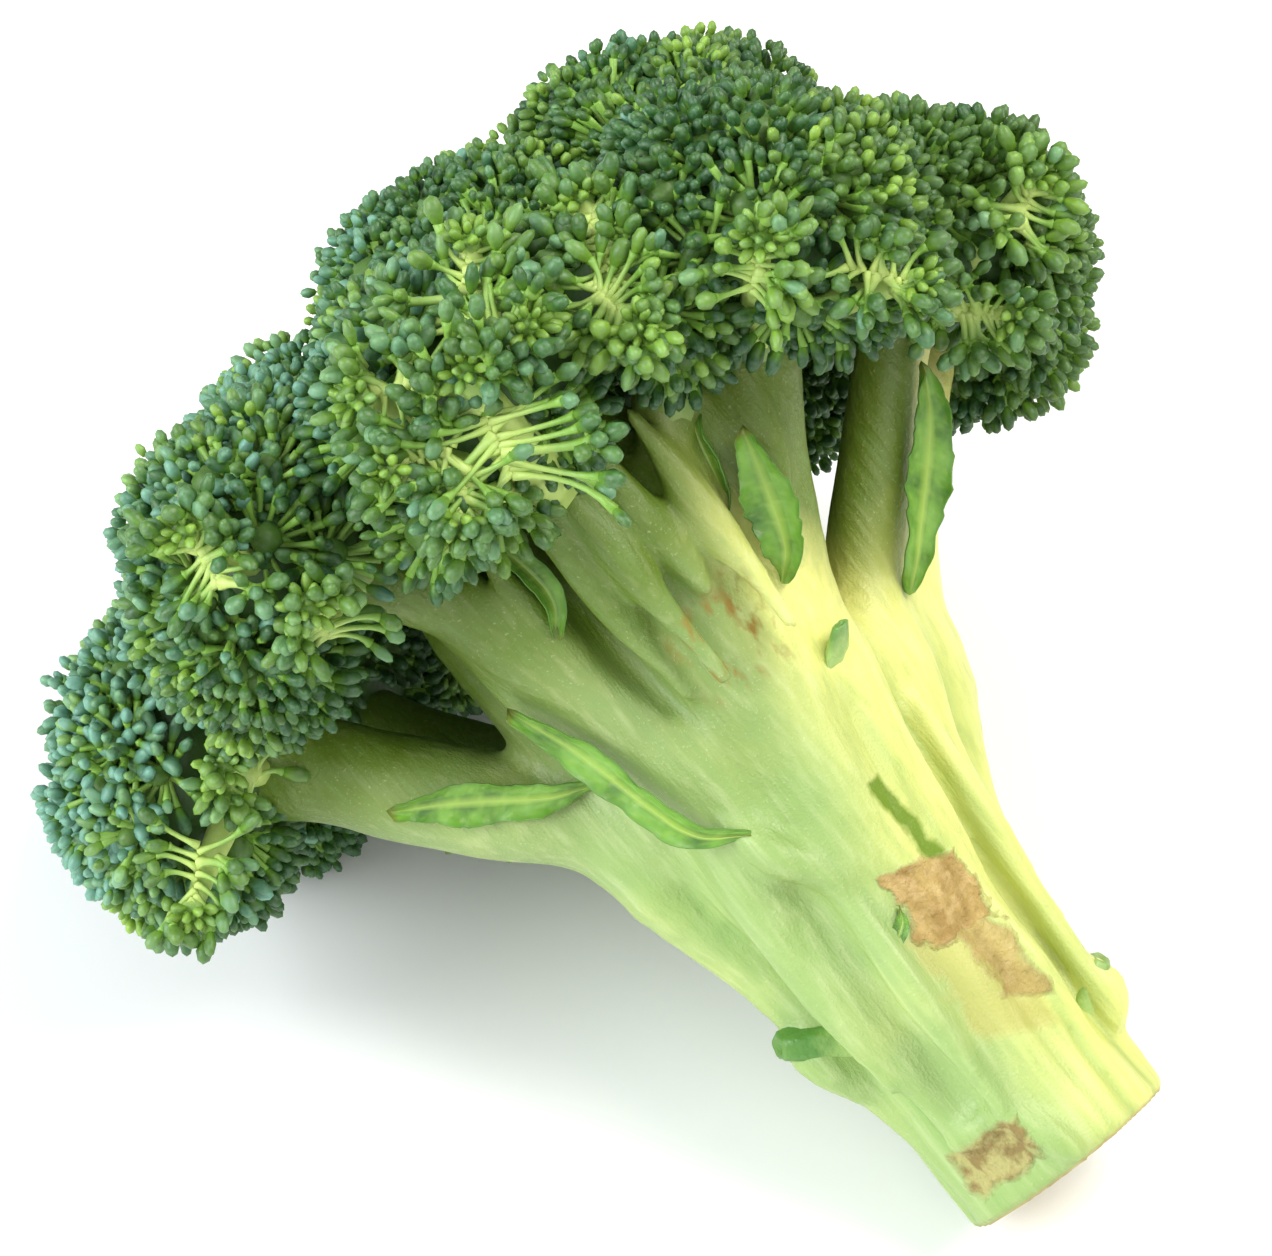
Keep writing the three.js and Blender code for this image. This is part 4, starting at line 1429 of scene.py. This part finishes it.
def bud_shapes(foot: Array, way: Array, width: Array, length: Array, rng: np.random.Generator,
               tint: Array, young: Array) -> Spindles:
    """Buds: a turned profile, narrow at its foot, widest past its middle and blunt at its tip,
    drawn in a little along four creases.

    Args:
        foot: Where each bud starts, (n, 3).
        way: The way each bud points, (n, 3).
        width: The radius of each, (n,).
        length: The length of each, (n,).
        rng: The source of each bud's turn.
        tint: The shade of each bud, (n,).
        young: How yellow each bud is, (n,).

    Returns:
        The buds, with the attributes along, tint, young and crease.
    """
    rise = np.array([0.14, 0.52, 0.86])
    wide = np.array([0.6, 1.0, 0.68])
    axes = upright_frames(way, rng.uniform(0, 6.28, len(way)))
    angle = np.linspace(0, 2 * math.pi, BUD_SIDES, endpoint=False)
    crease = 0.5 + 0.5 * np.cos(angle * 4)
    pinch = 1 - 0.1 * crease
    local = np.stack([wide[:, None] * np.cos(angle) * pinch, wide[:, None] * np.sin(angle) * pinch,
                      np.broadcast_to(rise[:, None], (3, BUD_SIDES))], -1)
    size = np.stack([width, width, length], 1)
    rings = np.einsum("nij,rsj,nj->nrsi", axes, local, size) + foot[:, None, None]
    poles = np.stack([foot, foot + way * length[:, None]], 1)
    run = np.r_[np.repeat(rise, BUD_SIDES), 0.0, 1.0]
    # crease marks the four drawn-in lines, where the bud finish paints shade.
    fold = np.r_[np.tile(crease, 3), 0.0, 0.3]
    one = np.ones((len(foot), 1))
    return Spindles(rings, poles, {
        "along": one * run, "crease": one * fold,
        "tint": tint[:, None] * np.ones_like(run), "young": young[:, None] * np.ones_like(run)})


# ------------------------------------------------------------------ leaves and stubs

@dataclass(frozen=True)
class Leaf:
    """A small leaf: a thin strip with a toothed rim, a raised midrib and a trough-like curl.

    Attributes:
        name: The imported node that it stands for.
        side: The way its upper face looks.
        width: Its greatest width, mm.
        path: Points from its foot to its tip, or none if it lies along a branch.
        on: The branch that it lies along.
        start: Where it starts, as a part of the branch's length.
        end: Where it ends.
        lift: How far its tip stands off, mm.
        curl: How far its rims rise over its middle, mm.
        own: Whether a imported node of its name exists.
    """
    name: str
    side: Point
    width: float
    path: tuple[Point, ...] = ()
    on: str = ""
    start: float = 0.0
    end: float = 1.0
    lift: float = 3.0
    curl: float = 1.8
    own: bool = True

    def line(self) -> Array:
        """Its middle line, from foot to tip."""
        if self.path:
            return smooth_path(self.path, LEAF_ROWS)
        plan = PLAN[self.on]
        branch = smooth_path(plan.path, 101)
        s = np.linspace(0, 1, LEAF_ROWS)
        t = self.start + (self.end - self.start) * s
        middle = np.stack([np.interp(t, np.linspace(0, 1, 101), branch[:, k]) for k in range(3)], 1)
        along = unit(np.gradient(middle, axis=0))
        side = np.array(unit(np.array(self.side, float)))
        out = unit(side - (along @ side)[:, None] * along)
        radius = plan.foot + (plan.top - plan.foot) * np.sin(t * math.pi / 2)
        return middle + out * (radius + 0.2 + 1.0 * s + self.lift * s**2)[:, None]

    def build(self, finish: bpy.types.Material) -> None:
        """Builds the leaf: across its middle line the surface is a trough, thinnest at its rims."""
        line = self.line()
        rows, half = len(line), 11
        t = np.linspace(0, 1, rows)
        s = np.cos(np.linspace(0, math.pi, half))
        around = np.r_[s, s[-2:0:-1]]
        top = np.r_[np.ones(half), -np.ones(half - 2)]
        wide = self.width / 2 * (0.1 + 0.9 * np.sin(math.pi * (0.02 + 0.95 * t**1.1)) ** 0.75)
        broad = min(1.0, self.width / 7.5) ** 2
        teeth = 1 + broad * (0.14 * ((t * self.width * 1.1) % 1.0 - 0.5) * ease(t, 0.2, 0.35)
                             + 0.06 * np.sin(t * 11 + self.width))
        along = unit(np.gradient(line, axis=0))
        side = unit(np.array(self.side, float))
        out = unit(side - (along @ side)[:, None] * along)
        line = line - out * 1.6 * (1 - ease(t, 0.0, 0.18))[:, None]
        across = np.cross(along, out)
        thick = 0.25 + 0.35 * (1 - np.abs(around)) + 0.3 * hump(around, 0, 0.14)
        wave = (broad * (0.7 * np.sin(t * 17.0) + 0.35 * np.sin(t * 43.0))[:, None]
                * np.abs(around) ** 2 * around)
        rise = self.curl * np.abs(around) ** 2 * ease(t, 0.0, 0.3)[:, None] + wave + top * thick
        rings = (line[:, None] + across[:, None] * (around * (wide * teeth)[:, None])[..., None]
                 + out[:, None] * rise[..., None])
        poles = np.stack([line[0] - along[0] * 0.5, line[-1] + along[-1] * 1.2])
        vein = hump((t[:, None] * 9 - np.abs(around) * 1.6) % 1.0, 0.5, 0.12) * 0.22
        rib = np.maximum(hump(around, 0, 0.12) * (1 - 0.4 * t[:, None]),
                         vein * (np.abs(around) < 0.85))
        rim = ease(np.abs(around), 0.72, 1.0) * 0.6 * np.ones((rows, 1))
        dry = 0.5 * ease(t, 0.985, 1.0)[:, None] * np.ones(len(around))
        marks = {"rib": rib, "rim": rim, "dry": dry}
        piece = lone_spindle(self.name, rings, poles, marks)
        piece.data.materials.append(finish)
        if self.own:
            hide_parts(self.name)


LEAVES = (
    Leaf("leaf_left_branch", (-0.3, -1, -0.3), 7, path=(
        (-22, -22, 92), (-29, -21.5, 96), (-36, -22, 101), (-42, -22.5, 105), (-48, -23, 108.5))),
    Leaf("leaf_fork", (-0.5, -1, 0), 6, path=(
        (-6.5, -31.5, 70.5), (-12.5, -31.5, 76), (-15.5, -31.5, 84), (-18.5, -31, 96),
                                              (-23, -31, 108))),
    Leaf("leaf_curled", (0.5, -1, 0), 4.5, path=(
        (-13.5, -36, 131), (-9, -38.5, 127.5), (-7.5, -38, 121), (-8, -36.5, 116.5),
                                                 (-10.5, -35, 113))),
    Leaf("leaf_front", (-0.6, -1, 0), 4, path=(
        (27.5, -43, 126), (26, -42.5, 122), (25, -41, 118), (24, -39, 114.5), (22.5, -37, 111))),
    Leaf("leaf_cupped", (-0.25, -1, 0), 8, curl=2.2, path=(
        (21, -33.5, 97.5), (25, -36.5, 100.5), (27.5, -39,
                                                105.5), (29.5, -42, 111.5), (31.5, -44, 118))),
    Leaf("leaf_sliver", (0.2, -1, 0.2), 2.6, curl=0.5, own=False, path=(
        (-0.5, -23.4, 43.5), (0.6, -24.2, 44.2), (2, -24.6, 45), (3.2, -24.8, 46), (4, -25, 47.4))),
    Leaf("leaf_long", (0.4, -1, -0.3), 7.5, path=(
        (36, -6, 85), (42, -7.5, 91.5), (48.5, -8, 98), (54.5, -10.5, 104.5), (59, -15, 111.5))),
    Leaf("leaf_rear_right", (0.6, 0.6, -1), 8, on="rear_right", start=0.35, end=0.72, lift=4),
    Leaf("leaf_rear", (-0.9, 0.4, -0.8), 7, on="rear", start=0.4, end=0.75, lift=3),
    Leaf("leaf_rear_left", (-0.6, -0.5, -1), 8, on="rear_left", start=0.42, end=0.75, lift=4),
)


@dataclass(frozen=True)
class Stub:
    """What is left of a cut leaf: a short flattened stem with a dried, sunken end.

    Attributes:
        name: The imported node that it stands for.
        azimuth: Where it stands round the stalk, in degrees.
        height: Its height up the stalk, mm.
        out: How far it reaches, mm: its end stands off the stalk by 0.9 of this, less 1.9.
        rise: How far its end is above its middle, mm.
        width: Its width, mm.
        depth: Its thickness, mm.
        green: How green its end is.
        dried: How dry its end is.
    """
    name: str
    azimuth: float
    height: float
    out: float
    rise: float
    width: float
    depth: float
    green: float = 1.0
    dried: float = 1.0

    def build(self, finish: bpy.types.Material) -> None:
        """Builds the stub: ovals along a short bow, with a rim that turns in at the end."""
        turn = math.radians(self.azimuth)
        away = np.array([math.cos(turn), math.sin(turn), 0.0])
        s = np.array([-2.2, -1.4, -0.7, 0.0, 0.45, 0.75, 0.95, 1.0, 0.97, 0.92])
        size = np.array([0.35, 0.8, 1.05, 1.1, 0.95, 0.8, 0.68, 0.52, 0.36, 0.2])
        z = np.maximum(self.height + self.rise * s, 0.8)
        reach = stalk_radius(z) - 1.9 + self.out * np.maximum(s, -0.4) * 0.9
        line = np.stack([reach * away[0], reach * away[1], z], 1)
        across = np.cross([0.0, 0.0, 1.0], away)
        along = unit(np.array([away[0] * self.out, away[1] * self.out, self.rise * 1.0]))
        deep = np.cross(along, across)
        angle = np.linspace(0, 2 * math.pi, 28, endpoint=False)
        rough = 1 + 0.14 * np.sin(angle * 2 + self.azimuth) + 0.09 * np.sin(angle * 5 + self.height)
        rings = (line[:, None] + across
                 * (np.cos(angle) * rough * size[:, None] * self.width / 2)[..., None]
                 + deep * (np.sin(angle) * rough * size[:, None] * self.depth / 2)[..., None])
        poles = np.stack([line[0], line[-1]])
        dry = np.array([0, 0, 0, 0, 0.05, 0.2, 0.8, 1, 1, 1.0])[:, None] * np.full(28, self.dried)
        green = np.array([0, 0, 0.05, 0.3, 0.7, 1, 1, 1, 1, 1.0])[:, None] * np.full(28, self.green)
        marks = {"green": green, "dry": dry}
        piece = lone_spindle(self.name, rings, poles, marks)
        piece.data.materials.append(finish)
        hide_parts(self.name)


STUBS = (
    Stub("stub_left", 204, 38.5, 8, 4, 9, 7, 1.4, 0.1),
    Stub("stub_right", 346, 18.5, 6.5, 3.5, 7, 5.5, 0.6, 0.1),
    Stub("stub_fork", 309, 84, 5, 3.5, 4.5, 2.2, 0.8, 0.0),
    Stub("stub_rear", 104, 33, 4, 6, 9, 5),
)


# ------------------------------------------------------------------ the studio

@dataclass(frozen=True)
class Studio:
    """The floor, the lights and the camera, placed round a point on the stalk's axis."""
    azimuth: float = 43.46
    elevation: float = 46.17
    tilt: float = 1.46
    distance: float = 622.0
    aim_height: float = 110.0
    aside: tuple[float, float] = (-0.97, -2.34)
    lens: float = 109.5

    def axes(self) -> Array:
        """The camera's right, up and back directions, as columns."""
        a, e, r = (math.radians(v) for v in (self.azimuth, self.elevation, self.tilt))
        back = np.array([math.sin(a) * math.cos(e), -math.cos(a) * math.cos(e), math.sin(e)])
        right = np.array([math.cos(a), math.sin(a), 0.0])
        up = np.cross(back, right)
        return np.stack([math.cos(r) * right + math.sin(r) * up,
                         math.cos(r) * up - math.sin(r) * right, back], 1)

    def lamp(self, name: str, away: Point, size: float, power: float, colour: Colour) -> None:
        """A soft square light at away, in metres along the camera's axes from the head."""
        data = bpy.data.lights.new(name, "AREA")
        data.size, data.energy, data.color = size, power, colour
        lamp = bpy.data.objects.new(name, data)
        middle = np.array([0.0, 0.0, 0.07])
        place = middle + self.axes() @ np.array(away)
        back = unit(place - middle)
        right = unit(np.cross([0.0, 0.0, 1.0], back))
        turn = np.stack([right, np.cross(back, right), back], 1)
        matrix = np.eye(4)
        matrix[:3, :3], matrix[:3, 3] = turn, place
        lamp.matrix_world = Matrix(matrix.tolist())
        bpy.context.scene.collection.objects.link(lamp)

    def build(self) -> None:
        """Sets up the floor, the lights, the sky and the camera."""
        scene = bpy.context.scene
        mesh = bpy.data.meshes.new("floor")
        reach = 3.0
        mesh.from_pydata([(-reach, -reach, 0), (reach, -reach, 0), (reach, reach, 0),
                          (-reach, reach, 0)],
                         [], [(0, 1, 2, 3)])
        floor = bpy.data.objects.new("floor", mesh)
        scene.collection.objects.link(floor)
        pale = bpy.data.materials.new("floor_pale")
        pale.use_nodes = True
        shader = pale.node_tree.nodes["Principled BSDF"]
        shader.inputs["Base Color"].default_value = (0.86, 0.86, 0.86, 1.0)
        shader.inputs["Roughness"].default_value = 0.9
        mesh.materials.append(pale)
        self.lamp("key", (0.62, 0.75, 0.75), 0.7, 15.0, (1.0, 0.97, 0.9))
        self.lamp("fill", (-1.0, 0.15, 0.8), 0.9, 20.0, (0.93, 0.97, 1.0))
        self.lamp("front", (0.1, -0.3, 1.2), 1.0, 4.0, (1.0, 1.0, 1.0))
        world = bpy.data.worlds.new("soft_sky")
        world.use_nodes = True
        sky = world.node_tree.nodes["Background"]
        sky.inputs["Color"].default_value = (0.95, 0.98, 1.0, 1.0)
        sky.inputs["Strength"].default_value = 0.55
        scene.world = world
        data = bpy.data.cameras.new("camera")
        data.sensor_width, data.lens = 36.0, self.lens
        data.clip_start, data.clip_end = 0.01, 20.0
        camera = bpy.data.objects.new("camera", data)
        axes = self.axes()
        aim = LIE.lay(np.array([[0.0, 0.0, self.aim_height]]))[0]
        place = aim + axes @ (np.array([self.aside[0], self.aside[1], self.distance]) * MM)
        matrix = np.eye(4)
        matrix[:3, :3], matrix[:3, 3] = axes, place
        camera.matrix_world = Matrix(matrix.tolist())
        scene.collection.objects.link(camera)
        scene.camera = camera
        scene.view_settings.view_transform = "Standard"


def main() -> None:
    """Builds the studio, the stalk's skin, the florets, the leaves and the stubs."""
    logging.basicConfig(level=logging.INFO, format="%(message)s")
    Studio().build()
    Skin().build()
    bud_finish, stem_finish = BudFinish().material(), StemFinish().material()
    for number, (name, plan) in enumerate(PLAN.items()):
        Floret(name, plan, seed=11 + number).build(bud_finish, stem_finish)
    leaf_finish = LeafFinish().material()
    for leaf in LEAVES:
        leaf.build(leaf_finish)
    stub_finish = StubFinish().material()
    for stub in STUBS:
        stub.build(stub_finish)


if __name__ == "__main__":
    main()
